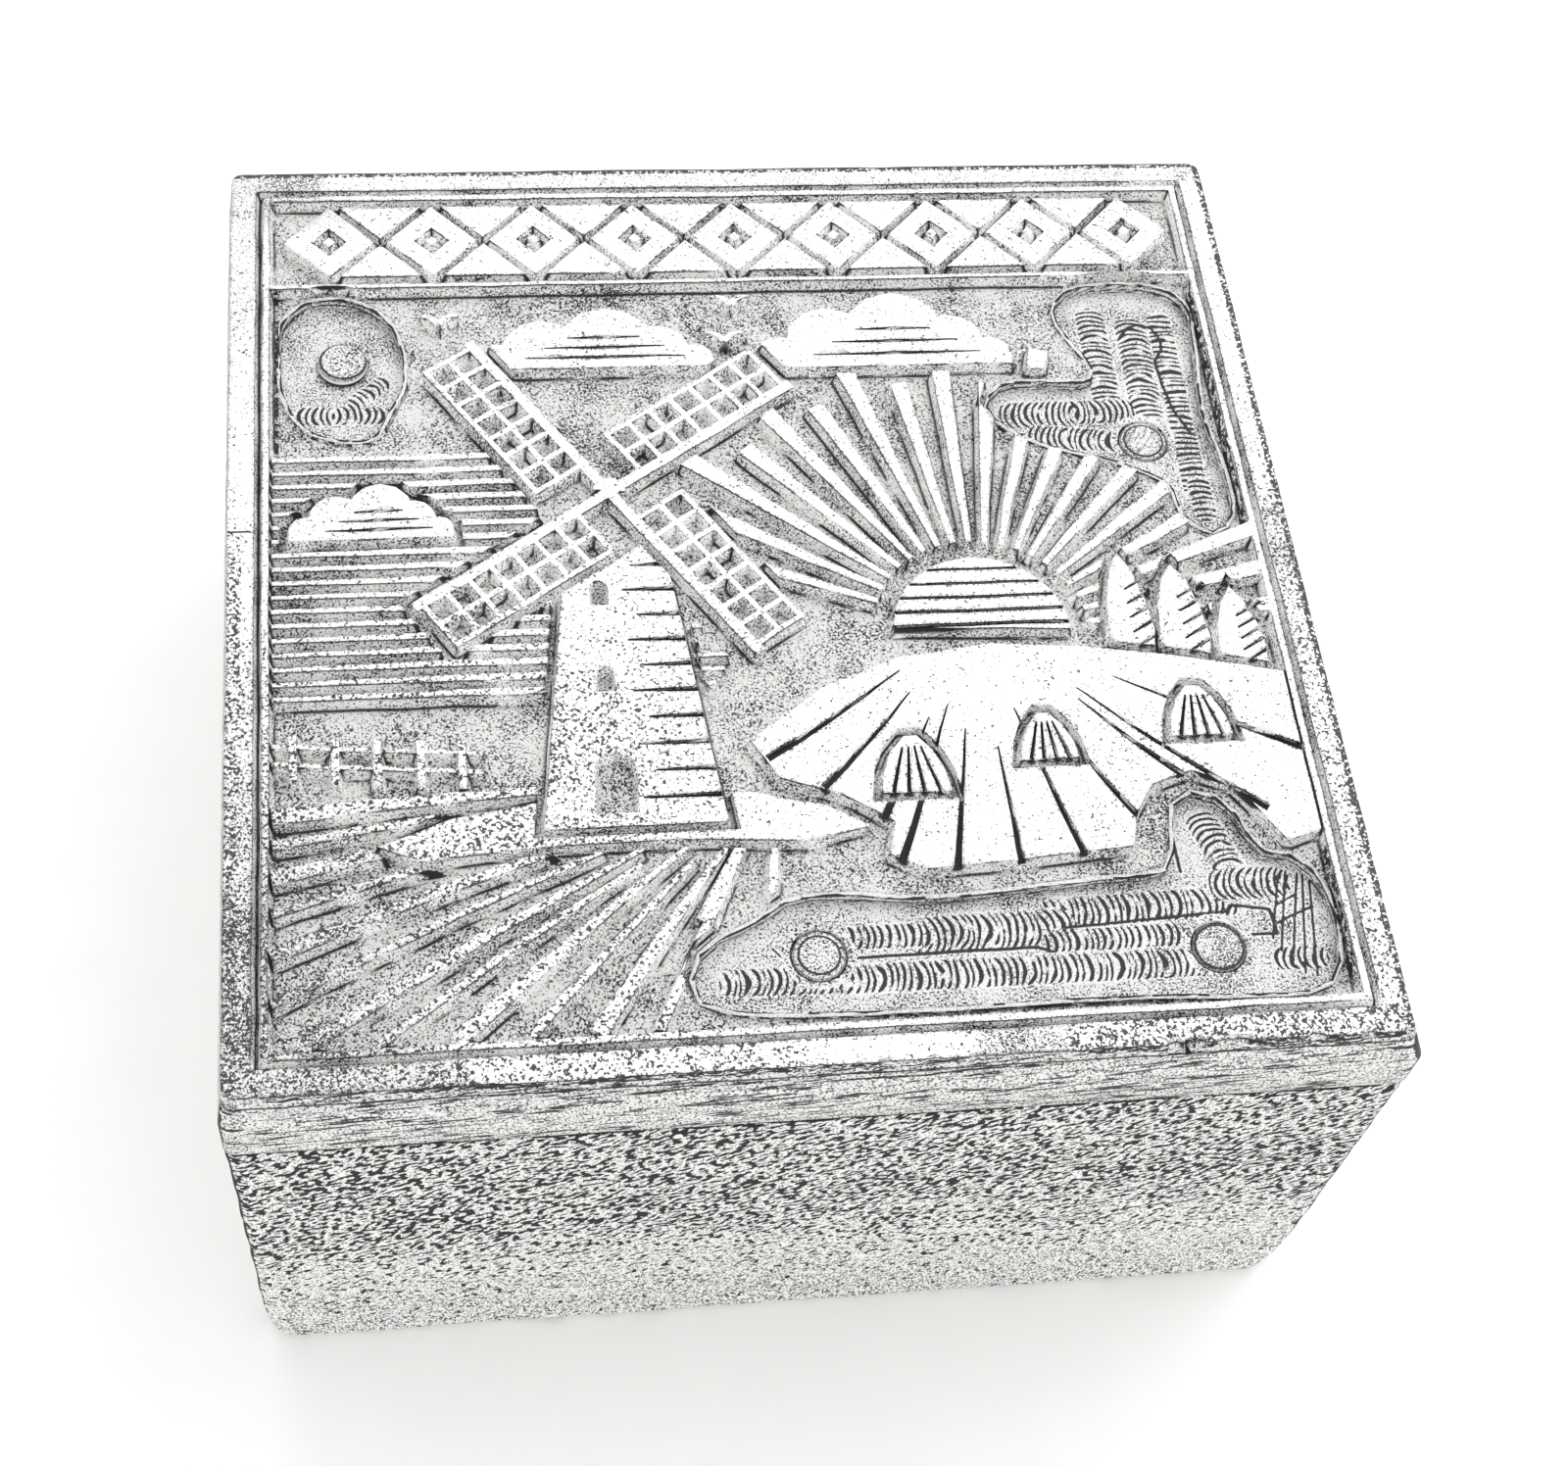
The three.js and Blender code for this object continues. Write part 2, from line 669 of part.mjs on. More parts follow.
// Poplars on the skyline
const poplars = [
  { footShare: [0.352, -0.14], sizeShares: [0.046, 0.145] },
  { footShare: [0.405, -0.145], sizeShares: [0.051, 0.134] },
  { footShare: [0.462, -0.155], sizeShares: [0.049, 0.113] },
];
const poplarCuts = 5;

function poplarOutline({ footShare, sizeShares }) {
  const foot = place(footShare);
  const { x: width, y: height } = place(sizeShares);
  const profileShares = [
    [-0.12, 0], [0.12, 0], [0.4, 0.14], [0.5, 0.34], [0.42, 0.6], [0.24, 0.84], [0, 1],
    [-0.24, 0.84], [-0.42, 0.6], [-0.5, 0.34], [-0.4, 0.14],
  ];
  return profileShares.map(([u, v]) => new THREE.Vector2(foot.x + u * width, foot.y + v * height));
}

function poplarLines({ footShare, sizeShares }) {
  const foot = place(footShare);
  const { x: width, y: height } = place(sizeShares);
  const cuts = [];
  for (let i = 0; i < poplarCuts; i++) {
    const y = foot.y + height * (0.2 + (0.6 * i) / poplarCuts);
    const from = new THREE.Vector2(foot.x, y);
    const to = new THREE.Vector2(foot.x + width * 0.6, y + width * 0.35);
    cuts.push(engraved(bar(from, to, fineLine / 2, fineLine)));
  }
  return joined(cuts);
}

// A post-and-rail fence in the near left
const fenceShares = { from: [-0.497, -0.225], to: [-0.3, -0.242] };
const fencePosts = 5;
const postHeight = 1.9;
const railCount = 2;
const railDrop = 0.02; // rails print a hair lighter than the posts they cross

function fence() {
  const from = place(fenceShares.from);
  const to = place(fenceShares.to);
  const solids = [];
  for (let i = 0; i < fencePosts; i++) {
    const foot = from.clone().lerp(to, (i + 0.5) / fencePosts);
    const head = foot.clone().add(new THREE.Vector2(0, postHeight));
    solids.push(raised(bar(foot, head, mediumLine)));
  }
  for (let i = 1; i <= railCount; i++) {
    const lift = new THREE.Vector2(0, (postHeight * i) / (railCount + 0.6));
    solids.push(raised(bar(from.clone().add(lift), to.clone().add(lift), fineLine), faceZ - railDrop));
  }
  return joined(solids);
}

const birdShares = [[-0.325, 0.325], [-0.014, 0.345], [-0.024, 0.295]];
const birdSpan = 1.5;

function birds() {
  const wings = birdShares.flatMap((share) => {
    const body = place(share);
    return [-1, 1].map((side) => {
      const tip = body.clone().add(new THREE.Vector2((side * birdSpan) / 2, birdSpan / 4));
      const bend = body.clone().add(new THREE.Vector2((side * birdSpan) / 4, birdSpan / 3));
      return raised(bentStroke(body, bend, tip, mediumLine, fineLine / 2, 3));
    });
  });
  return joined(wings);
}

// One motif over what is there: clear a line round it, lay it, cut its own lines.
function over(relief, outlines, cuts) {
  const halo = joined(outlines.map((outline) => cleared(polygon(grown(outline, keyline)))));
  const work = joined(outlines.map((outline) => raised(polygon(outline))));
  const laid = relief.subtract(halo).add(work);
  return cuts ? laid.subtract(cuts) : laid;
}

function picture() {
  let relief = sunAndRays().subtract(sunCuts()).add(skyLines()).add(birds());
  for (const cloud of Object.values(clouds)) {
    relief = over(relief, cloudOutlines(cloud), cloudCuts(cloud));
  }
  relief = over(relief, poplars.map(poplarOutline), joined(poplars.map(poplarLines)));
  relief = over(relief, [places(hillShares)], hillCuts());
  relief = over(relief, haycocks.map(haycockOutline), joined(haycocks.map(haycockCuts)));
  const farField = cleared(polygon(grown(places(moundShares), keyline)));
  relief = relief.add(ridges()).add(fence()).subtract(farField).add(raised(polygon(places(moundShares))));
  const millHalo = joined([
    cleared(polygon(grown(towerOutline(), keyline))),
    cleared(polygon(grown(capOutline(), keyline))),
  ]);
  relief = relief.subtract(millHalo).add(tower().subtract(towerCuts()));
  relief = relief.subtract(joined(sailAngles.map(sailHalo)));
  const hub = place(millShare);
  const boss = new THREE.Shape().absarc(hub.x, hub.y, hubRadius, 0, 2 * Math.PI, false);
  relief = relief.add(joined(sailAngles.map(sail)));
  relief = relief.add(raised(polygon(boss.getPoints(millFacets).slice(0, millFacets))));
  const field = polygon(rectangle(pictureWidth, pictureDepth));
  const kept = prism(field, floorZ - rootDepth, faceZ + cutOverrun);
  const bandDepth = bandRuleDrop + keyline;
  const bandClear = cleared(polygon(rectangle(pictureWidth, bandDepth, 0, (pictureDepth - bandDepth) / 2)));
  return relief.subtract(bandClear).add(headBand()).intersect(kept);
}

// The relief shell: a blank with its field etched away, and the picture standing in it
function frame(outerInset, width) {
  const outline = polygon(rectangle(faceWidth - 2 * outerInset, faceDepth - 2 * outerInset));
  outline.holes.push(
    new THREE.Path(rectangle(faceWidth - 2 * (outerInset + width), faceDepth - 2 * (outerInset + width))),
  );
  return outline;
}

function reliefShell() {
  const middle = (outline) => outline.map((p) => p.clone().sub(faceMiddle));
  const blank = stacked([
    { z: shellFootZ, outline: middle(plateOutline(shellFootZ)) },
    { z: faceZ, outline: middle(plateOutline(faceZ)) },
  ]);
  const field = (inset) => rectangle(faceWidth - 2 * inset, faceDepth - 2 * inset);
  const hollow = stacked([
    { z: floorZ, outline: field(borderWidth + shoulder) },
    { z: faceZ, outline: field(borderWidth) },
    { z: faceZ + cutOverrun, outline: field(borderWidth) },
  ]);
  const rule = raised(frame(borderWidth + grooveWidth, ruleWidth));
  const margins = joined(pocketOutlines.map((o) => cleared(polygon(grown(o, pocketMargin)))));
  const burrZ = floorZ + burrHeight;
  const burrs = joined(pocketOutlines.map((o) => raised(polygon(grown(o, burrWidth)), burrZ)));
  const openings = joined(
    pocketOutlines.map((o) => prism(polygon(o), shellFootZ - cutOverrun, faceZ + cutOverrun)),
  );
  const trim = prism(polygon(rectangle(mountWidth, mountDepth)), shellFootZ, faceZ + cutOverrun);
  const work = picture().subtract(margins).add(rule).add(burrs).intersect(trim);
  return blank.subtract(hollow).add(work).subtract(openings);
}

// The backing: soft metal under the shell, flush with the mount at its foot
function backingPlate() {
  const shoulderZ = faceZ - flankDrop;
  const blank = stacked([
    { z: mountHeight, outline: plateOutline(mountHeight) },
    { z: shoulderZ, outline: plateOutline(shoulderZ) },
    { z: shellFootZ, outline: plateOutline(shellFootZ) },
  ]);
  const cuts = pocketOutlines.map((outline) =>
    prism(polygon(outline.map(ontoPlate)), pocketFloorZ, shellFootZ + cutOverrun),
  );
  const holes = Object.values(nailPlaces).flatMap((seat) => [
    roundHole(seat, headRadius + headClearance, seat.z, shellFootZ + cutOverrun),
    roundHole(seat, shankRadius + plateClearance, mountHeight - cutOverrun, shellFootZ),
  ]);
  return blank.subtract(joined([...cuts, ...holes]));
}

function roundHole(centre, radius, bottom, top) {
  const geometry = new THREE.CylinderGeometry(radius, radius, top - bottom, nailFacets);
  geometry.rotateX(Math.PI / 2);
  geometry.translate(centre.x, centre.y, (top + bottom) / 2);
  return solidFrom(geometry);
}

// The mount: a wooden block with its foot worn round, drilled for the nails
const footSteps = 4;

function mountOutline(z) {
  const worn = Math.max(1 - z / cornerWearHeight, 0) ** 2;
  const radius = THREE.MathUtils.lerp(mountCorner, footCorner, worn);
  const inset = footWear - Math.sqrt(footWear ** 2 - Math.max(footWear - z, 0) ** 2);
  return roundedRectangle(mountWidth - 2 * inset, mountDepth - 2 * inset, radius);
}

function woodMount() {
  const heights = [];
  for (let i = 0; i < footSteps; i++) {
    heights.push(footWear * (1 - Math.cos(((i / footSteps) * Math.PI) / 2)));
  }
  for (let i = 0; i < footSteps; i++) {
    heights.push(THREE.MathUtils.lerp(footWear, cornerWearHeight, i / footSteps));
  }
  heights.push(cornerWearHeight, mountHeight);
  const pilots = Object.values(nailPlaces).map((seat) => {
    const bottom = seat.z - nailLength - pilotOverrun;
    return roundHole(seat, shankRadius + pilotClearance, bottom, mountHeight + cutOverrun);
  });
  return stacked(heights.map((z) => ({ z, outline: mountOutline(z) }))).subtract(joined(pilots));
}

// A nail, modelled with the underside of its head at z = 0
function nailGeometry() {
  const profile = [
    [0, -nailLength],
    [shankRadius, -nailLength + pointLength],
    [shankRadius, 0],
    [headRadius, 0],
    [headRadius, headHeight - headEdge],
    [headRadius - headEdge, headHeight],
    [0, headHeight + headDome],
  ].map(([r, z]) => new THREE.Vector2(r, z));
  const geometry = new THREE.LatheGeometry(profile, nailFacets);
  return geometry.rotateX(Math.PI / 2);
}

// The finished pieces
const materials = {
  shell: new THREE.MeshStandardMaterial({ color: 0xd9d9d6, roughness: 0.35, metalness: 0.9 }),
  backing: new THREE.MeshStandardMaterial({ color: 0xa3a4a4, roughness: 0.55, metalness: 0.8 }),
  wood: new THREE.MeshStandardMaterial({ color: 0xb9b4aa, roughness: 0.85, metalness: 0 }),
  nail: new THREE.MeshStandardMaterial({ color: 0x8f9090, roughness: 0.45, metalness: 0.9 }),
};

function named(name, geometry, material) {
  const mesh = new THREE.Mesh(geometry, material);
  mesh.name = name;
  return mesh;
}

const block = new THREE.Group();
block.add(named("wood_mount", geometryFrom(woodMount()), materials.wood));
block.add(named("backing_plate", geometryFrom(backingPlate()), materials.backing));
const shell = named("relief_shell", geometryFrom(reliefShell()), materials.shell);
shell.position.set(faceMiddle.x, faceMiddle.y, 0);
block.add(shell);
for (const [name, seat] of Object.entries(nailPlaces)) {
  const nail = named(name, nailGeometry(), materials.nail);
  nail.position.copy(seat);
  block.add(nail);
}

export default block;
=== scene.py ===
# %% [markdown]
# # A letterpress printing block
# The block is a small sandwich. A thin hard shell carries the raised picture that prints, a slab of
# soft type metal backs it, and a piece of hardwood lifts both to the height of printer's type.
# Four little nails, sunk in pockets that a router has cleared, hold the plate on the wood.
# The measured model already has each solid in its place, so this lesson gives them their surface:
# hand-cut edges, router marks, saw marks, wear and old ink. Nothing in it is left to chance: all
# noise starts from fixed places, so every run makes the same block.

import math

import bmesh
import bpy
from mathutils import Euler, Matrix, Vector, noise


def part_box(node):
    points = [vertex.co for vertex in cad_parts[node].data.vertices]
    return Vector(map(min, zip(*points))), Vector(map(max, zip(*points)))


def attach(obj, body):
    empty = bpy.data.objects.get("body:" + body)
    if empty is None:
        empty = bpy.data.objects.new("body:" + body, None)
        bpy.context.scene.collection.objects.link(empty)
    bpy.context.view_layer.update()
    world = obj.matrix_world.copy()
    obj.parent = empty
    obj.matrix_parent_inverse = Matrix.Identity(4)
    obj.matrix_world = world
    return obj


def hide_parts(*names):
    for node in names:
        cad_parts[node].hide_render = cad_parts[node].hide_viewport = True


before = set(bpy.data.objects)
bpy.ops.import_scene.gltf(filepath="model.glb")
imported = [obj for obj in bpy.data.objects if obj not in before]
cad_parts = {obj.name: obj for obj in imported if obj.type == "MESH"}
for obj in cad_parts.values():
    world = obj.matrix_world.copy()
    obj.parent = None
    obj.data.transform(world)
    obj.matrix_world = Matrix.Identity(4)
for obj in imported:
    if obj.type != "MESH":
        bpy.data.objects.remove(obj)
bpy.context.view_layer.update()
MM = 0.001
print("solids:", ", ".join(sorted(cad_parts)))

# %% [markdown]
# ## Heights and nails, read from the solids
# A cut or a finish needs to know at which height it is: on the printing face, on the etched floor
# beside it, or down in a pocket. The solids' own boxes give the face, the joint and the nails. Only
# the three depths that a box can't tell are written down again.

# %% Read the heights and the nails' places from the solids
ETCHED_DEPTH = 0.55 * MM
ENGRAVED_DEPTH = 0.24 * MM
POCKET_DEPTH = 0.95 * MM
CLOSE = 0.01 * MM  # a point nearer than this to a height lies at that height

_, wood_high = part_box("wood_mount")
plate_low, plate_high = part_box("backing_plate")
shell_low, shell_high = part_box("relief_shell")
FACE_Z = shell_high[2]
SHELL_FOOT_Z = shell_low[2]
JOINT_Z = wood_high[2]
FLOOR_Z = FACE_Z - ETCHED_DEPTH
ENGRAVED_Z = FACE_Z - ENGRAVED_DEPTH
POCKET_Z = FACE_Z - POCKET_DEPTH
NAILS = [name for name in sorted(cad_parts) if name.startswith("nail_")]


def middle_of(name):
    low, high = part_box(name)
    return Vector(((low[0] + high[0]) / 2, (low[1] + high[1]) / 2, 0))


nail_places = {name: middle_of(name) for name in NAILS}
print("face at", round(FACE_Z / MM, 2), "mm, joint at", round(JOINT_Z / MM, 2), "mm")

# %% [markdown]
# ## Camera, floor and light first
# The photograph looks down on the block from the front, a little from the left. The lens and place
# were found by fitting a camera to the block's own corners, so the model lies over the photograph.
# A pale floor and broad soft lights keep every shadow gentle, as on a copy stand.

# %% Camera
CAMERA_PLACE = Vector((-12.52, -53.48, 99.61)) * MM
CAMERA_TURN = [math.radians(angle) for angle in (31.70, -5.18, -5.94)]
LENS_MM = 58.1
SENSOR_MM = 36
NEAREST_SEEN = 5 * MM

camera = bpy.data.objects.new("camera", bpy.data.cameras.new("camera"))
camera.location = CAMERA_PLACE
camera.rotation_euler = Euler(CAMERA_TURN, "XYZ")
camera.data.lens = LENS_MM
camera.data.sensor_width = SENSOR_MM
camera.data.sensor_fit = "HORIZONTAL"
camera.data.clip_start = NEAREST_SEEN
camera.data.dof.use_dof = False
bpy.context.scene.collection.objects.link(camera)
bpy.context.scene.camera = camera
print("camera", round(camera.location.length / MM), "mm from the block's foot")

# %% [markdown]
# ## From a bmesh to an object
# Each piece is worked as a bmesh, a loose copy that can be cut and bent freely, and becomes an
# object only when it is done. The object stays at the origin, unturned, so that its finish can read
# its own coordinates. Smooth shading up to a limiting angle keeps wavering walls soft and arrises
# crisp, without the many faces that a Bevel modifier would add.

# %% Put a piece in the scene


def put_in_scene(name, bm, angle=35):
    """A finished bmesh becomes an object at the origin, smooth except over sharp corners."""
    mesh = bpy.data.meshes.new(name)
    bm.to_mesh(mesh)
    bm.free()
    mesh.shade_smooth()
    mesh.set_sharp_from_angle(angle=math.radians(angle))
    thing = bpy.data.objects.new(name, mesh)
    bpy.context.scene.collection.objects.link(thing)
    triangles = sum(len(face.vertices) - 2 for face in mesh.polygons)
    print(name, "has", triangles, "triangles")
    return thing


# %% [markdown]
# ## Finishes built from a few kinds of node
# A finish here is a sum of noises, heights and slopes that mixes greys. It could be drawn in the
# node editor, but each of them would fill a screen. A few helpers each add one node and hand back
# its output, so that a finish reads like a recipe. Noise is placed by a Mapping node of the Texture
# kind, whose scale is then simply the size of a grain.

# %% Nodes and new finishes


def node(tree, kind, inputs=None, **settings):
    """One shader node: inputs are numbers, colours or the sockets that feed them."""
    made = tree.nodes.new(kind)
    for key, value in settings.items():
        setattr(made, key, value)
    for key, value in (inputs or {}).items():
        if isinstance(value, bpy.types.NodeSocket):
            tree.links.new(value, made.inputs[key])
        else:
            made.inputs[key].default_value = value
    return made


def new_finish(name, **shader_values):
    finish = bpy.data.materials.new(name)
    finish.use_nodes = True
    shader = finish.node_tree.nodes["Principled BSDF"]
    for key, value in shader_values.items():
        shader.inputs[key.title()].default_value = value
    return finish, finish.node_tree, shader


def wear(piece, finish):
    piece.data.materials.append(finish)
    print(piece.name, "wears", finish.name, "made of", len(finish.node_tree.nodes), "nodes")


# %% Places, grains and greys
BLUE_SHARE = 0.985  # a grey has slightly less blue than red and green, as paper has
MIX_COLOURS = (6, 7)  # a Mix node's two colours come after its numbers and vectors
MIX_RESULT = 2


def place_on(tree):
    return node(tree, "ShaderNodeTexCoord").outputs["Object"]


def speckle(tree, where, grain_mm, detail=2, stretch=(1, 1, 1), turn=(0, 0, 0), roughness=0.5):
    """Noise with grains of about grain_mm, drawn out by stretch along axes turned by turn."""
    inputs = {"Vector": where, "Rotation": turn, "Scale": tuple(grain_mm * MM * s for s in stretch)}
    placed = node(tree, "ShaderNodeMapping", inputs, vector_type="TEXTURE")
    inputs = {"Vector": placed.outputs[0], "Scale": 1.0, "Detail": detail, "Roughness": roughness}
    return node(tree, "ShaderNodeTexNoise", inputs).outputs["Fac"]


def grey(value):
    return (value, value, value * BLUE_SHARE)


def blend_colour(tree, share, first, second):
    """The first colour where share is 0, the second where it is 1."""
    made = node(tree, "ShaderNodeMix", {"Factor": share}, data_type="RGBA")
    for socket, colour in zip(MIX_COLOURS, (first, second)):
        if isinstance(colour, bpy.types.NodeSocket):
            tree.links.new(colour, made.inputs[socket])
        else:
            made.inputs[socket].default_value = (*colour, 1)
    return made.outputs[MIX_RESULT]


# %% Floor
FLOOR_REACH = 600 * MM
FLOOR_GREYS = (grey(0.93), grey(0.97))

bm = bmesh.new()
bmesh.ops.create_grid(bm, x_segments=1, y_segments=1, size=FLOOR_REACH)
floor = put_in_scene("floor", bm)
floor_finish, tree, shader = new_finish("pale_floor", roughness=0.7)
mottle = speckle(tree, place_on(tree), grain_mm=2.5, detail=3)
tree.links.new(blend_colour(tree, mottle, *FLOOR_GREYS), shader.inputs["Base Color"])
wear(floor, floor_finish)

# %% Soft light
LIGHTS = {
    # name: (place in mm, size in mm, watts)
    "key_softbox": ((150, 90, 280), 240, 0.36),
    "rear_softbox": ((-30, 260, 240), 240, 0.2),
}
SKY_WHITE = (1, 1, 1, 1)
SKY_STRENGTH = 1.05

for name, (place, size, watts) in LIGHTS.items():
    lamp = bpy.data.lights.new(name, "AREA")
    lamp.shape = "DISK"
    lamp.size = size * MM
    lamp.energy = watts
    light = bpy.data.objects.new(name, lamp)
    light.location = Vector(place) * MM
    light.rotation_euler = (-light.location).to_track_quat("-Z", "Y").to_euler()
    bpy.context.scene.collection.objects.link(light)

world = bpy.data.worlds.new("studio")
world.use_nodes = True
world.node_tree.nodes["Background"].inputs["Color"].default_value = SKY_WHITE
world.node_tree.nodes["Background"].inputs["Strength"].default_value = SKY_STRENGTH
bpy.context.scene.world = world
bpy.context.scene.view_settings.view_transform = "Standard"
print("lights:", ", ".join(LIGHTS))

# %% [markdown]
# ## Hand-cut edges
# The solids have ruler-straight edges, and the real ones waver: the etching, the graver and the
# router were guided by hand. One field of small shifts is worked out from a point's own place, so
# neighbouring solids bend alike and stay together. Before a straight edge can bend it needs
# points along it, so each copy is first sliced by a set of parallel planes.

# %% Copy a solid and slice it
MERGE_DISTANCE = 0.002 * MM
CUT_TOLERANCE = 0.0001 * MM


def copy_of(node_name):
    bm = bmesh.new()
    bm.from_mesh(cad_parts[node_name].data)
    bmesh.ops.remove_doubles(bm, verts=bm.verts, dist=MERGE_DISTANCE)
    return bm


def geometry_of(faces):
    """The faces with their points and edges, each once and in the same order every time."""
    verts = dict.fromkeys(vert for face in faces for vert in face.verts)
    edges = dict.fromkeys(edge for face in faces for edge in face.edges)
    return [*verts, *edges, *faces]


def cut_across(bm, geometry, at, direction):
    """Cuts the geometry by one plane and hands back all of it, new points included."""
    cut = bmesh.ops.bisect_plane(
        bm, geom=geometry, dist=CUT_TOLERANCE, plane_co=at, plane_no=direction
    )
    return [item for item in cut["geom"] if item.is_valid]


def slice_across(bm, geometry, axis, pitch):
    """Cuts the geometry by planes square to an axis and a pitch apart."""
    direction = Vector([1.0 if i == axis else 0.0 for i in range(3)])
    reach = [item.co[axis] for item in geometry if isinstance(item, bmesh.types.BMVert)]
    first = math.floor(min(reach) / pitch)
    last = math.ceil(max(reach) / pitch)
    for i in range(first, last):
        geometry = cut_across(bm, geometry, direction * (i + 0.5) * pitch, direction)
    return geometry


# %% The waver of a hand-cut edge
WAVER_MM = ((1.7, 0.038), (0.45, 0.018))  # size of the waves, and how far they shift a point
WAVER_SEED = 5

noise.seed_set(WAVER_SEED)  # without a seed noise_vector starts from the clock, and every run differs


def waver(place):
    shift = Vector((0, 0, 0))
    for size, reach in WAVER_MM:
        shift += noise.noise_vector(place / (size * MM)) * reach * MM
    return Vector((shift.x, shift.y, 0))


print("edges waver by at most about", round(sum(reach for _, reach in WAVER_MM), 3), "mm")

# %% [markdown]
# ## The shape of the relief shell
# The shell came off an etched mould, so its walls lean and its etched floor is not quite level. Years
# of handling have knocked the front arris, most of all towards the right, and one sharp blow has left
# a nick. A sculpted arris would do it by eye. Here the front strip is sliced more finely than the
# rest, and noise that runs along the arris pushes its points down and back.

# %% Knocks along the front arris
DENT_ROW_Y = shell_low[1] + 0.22 * MM
DENT_FOOT_Z = SHELL_FOOT_Z + 0.2 * MM
DENT_SLICE = 0.2 * MM
KNOCK_LENGTH = 0.55 * MM
KNOCK_LINE = (3.1, 0.7)  # the line through the noise that the knocks follow
KNOCK_RARITY = 0.22
KNOCK_FORCE = 0.25
WORSE_FROM_X = 3 * MM
WORSE_OVER = 5 * MM
WORSE_NUMBER = 0.2  # how much more often the arris is knocked on the right
WORSE_FORCE = 0.5  # and how much harder
NICK_X = 11.7 * MM
NICK_SHARE = 0.8


def dent(place):
    """The share of a full dent at a place on the front arris."""
    if place.y > DENT_ROW_Y or place.z < DENT_FOOT_Z:
        return 0.0
    knock = noise.noise(Vector((place.x / KNOCK_LENGTH, *KNOCK_LINE)))
    worse = 0.5 + 0.5 * math.tanh((place.x - WORSE_FROM_X) / WORSE_OVER)
    often = max(knock - KNOCK_RARITY + WORSE_NUMBER * worse, 0.0)
    knocked = often * (KNOCK_FORCE + WORSE_FORCE * worse)
    nick = NICK_SHARE * max(1 - abs(place.x - NICK_X) / DENT_SLICE, 0.0)
    return max(knocked, nick)


# %% Slice the shell
SHELL_SLICE = 0.7 * MM
FRONT_STRIP_Y = DENT_ROW_Y + 0.6 * MM
FRONT_CUT_Y = DENT_ROW_Y + 0.1 * MM


def faces_before(bm, y):
    return [face for face in bm.faces if face.calc_center_median().y < y]


bm = copy_of("relief_shell")
parts = geometry_of(bm.faces)
for axis in (0, 1):
    parts = slice_across(bm, parts, axis, SHELL_SLICE)
front_strip = geometry_of(faces_before(bm, FRONT_STRIP_Y))
cut_across(bm, front_strip, Vector((0, FRONT_CUT_Y, 0)), Vector((0, 1, 0)))
slice_across(bm, geometry_of(faces_before(bm, FRONT_CUT_Y)), 0, DENT_SLICE)
bm.normal_update()
print("the shell is sliced into", len(bm.faces), "faces")

# %% [markdown]
# ## The edge of each pocket
# Where the router broke through the shell it raised a burr, and a black line of painted shadow is drawn
# along the burr's inner edge. Slope and height can't tell that edge from a wall of the picture, but
# where the wall leads can: a pocket's wall goes on down below the etched floor. So the deep wall faces
# are found first, the search spreads to the wall faces beside them, and the points on top get a value
# of their own that the finish reads.

# %% Mark the inner edge of each pocket
WALL_SLOPE = 0.3  # a wall's normal rises less than this
DEEP_Z = FLOOR_Z - 0.05 * MM
BURR_LOW_Z = FLOOR_Z + 0.1 * MM
BURR_HIGH_Z = FACE_Z - 0.3 * MM


def is_wall(face):
    return abs(face.normal.z) < WALL_SLOPE


def pocket_walls(bm):
    """The faces of the walls round the pockets, which are the walls that go below the etched floor."""
    found = {
        face for face in bm.faces
        if is_wall(face) and min(vert.co.z for vert in face.verts) < DEEP_Z
    }
    fresh = found
    while fresh:
        beside = {other for face in fresh for edge in face.edges for other in edge.link_faces}
        fresh = {face for face in beside if is_wall(face)} - found
        found = found | fresh
    return found


# points that carry the painted shadow along each pocket's inner edge
edge_layer = bm.verts.layers.float.new("pocket_edge")
for face in pocket_walls(bm):
    for vert in face.verts:
        if BURR_LOW_Z < vert.co.z < BURR_HIGH_Z:
            vert[edge_layer] = 1.0
print(sum(1 for vert in bm.verts if vert[edge_layer] > 0), "points on the pockets' edges")

# %% Bend and knock the shell
SWELL_SIZE = 1.1 * MM
SWELL_HEIGHT = 0.035 * MM
FULL_DENT_MM = Vector((0, 0.45, -0.5))

for vert in bm.verts:
    knock = dent(vert.co)
    height = vert.co.z
    vert.co += waver(vert.co)
    if SHELL_FOOT_Z + CLOSE < height < FLOOR_Z + CLOSE:
        vert.co.z += noise.noise(vert.co / SWELL_SIZE) * SWELL_HEIGHT
    vert.co += FULL_DENT_MM * knock * MM
relief = put_in_scene("relief_face", bm)
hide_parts("relief_shell")
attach(relief, "root")

# %% [markdown]
# ## Reading height, slope and corners in a finish
# The printing face is bright, the walls and the etched floor are a dull, pebbled grey, and engraved
# lines are full of ink. A painted map could tell them apart, but each point's own height and slope
# already do, and they fit the solid exactly. A ragged black line, partly old ink and partly painted
# shade, also runs along every corner. A Bevel node finds it: the softened normal that it gives leans
# away from the true one only near a corner.

# %% Sums and steps


def math_node(tree, operation, a, b=0.0):
    return node(tree, "ShaderNodeMath", {0: a, 1: b}, operation=operation).outputs[0]


def times(tree, a, b):
    return math_node(tree, "MULTIPLY", a, b)


def plus(tree, a, b):
    return math_node(tree, "ADD", a, b)


def minus(tree, a, b):
    return math_node(tree, "SUBTRACT", a, b)


def one_minus(tree, value):
    return minus(tree, 1.0, value)


def most(tree, a, b):
    return math_node(tree, "MAXIMUM", a, b)


def without_sign(tree, value):
    return math_node(tree, "ABSOLUTE", value)


def rise(tree, value, low, high, to_low=0.0, to_high=1.0):
    """A smooth step: to_low where value is at low, to_high where it is at high."""
    inputs = {"Value": value, "From Min": low, "From Max": high, "To Min": to_low, "To Max": to_high}
    return node(tree, "ShaderNodeMapRange", inputs, interpolation_type="SMOOTHSTEP").outputs["Result"]


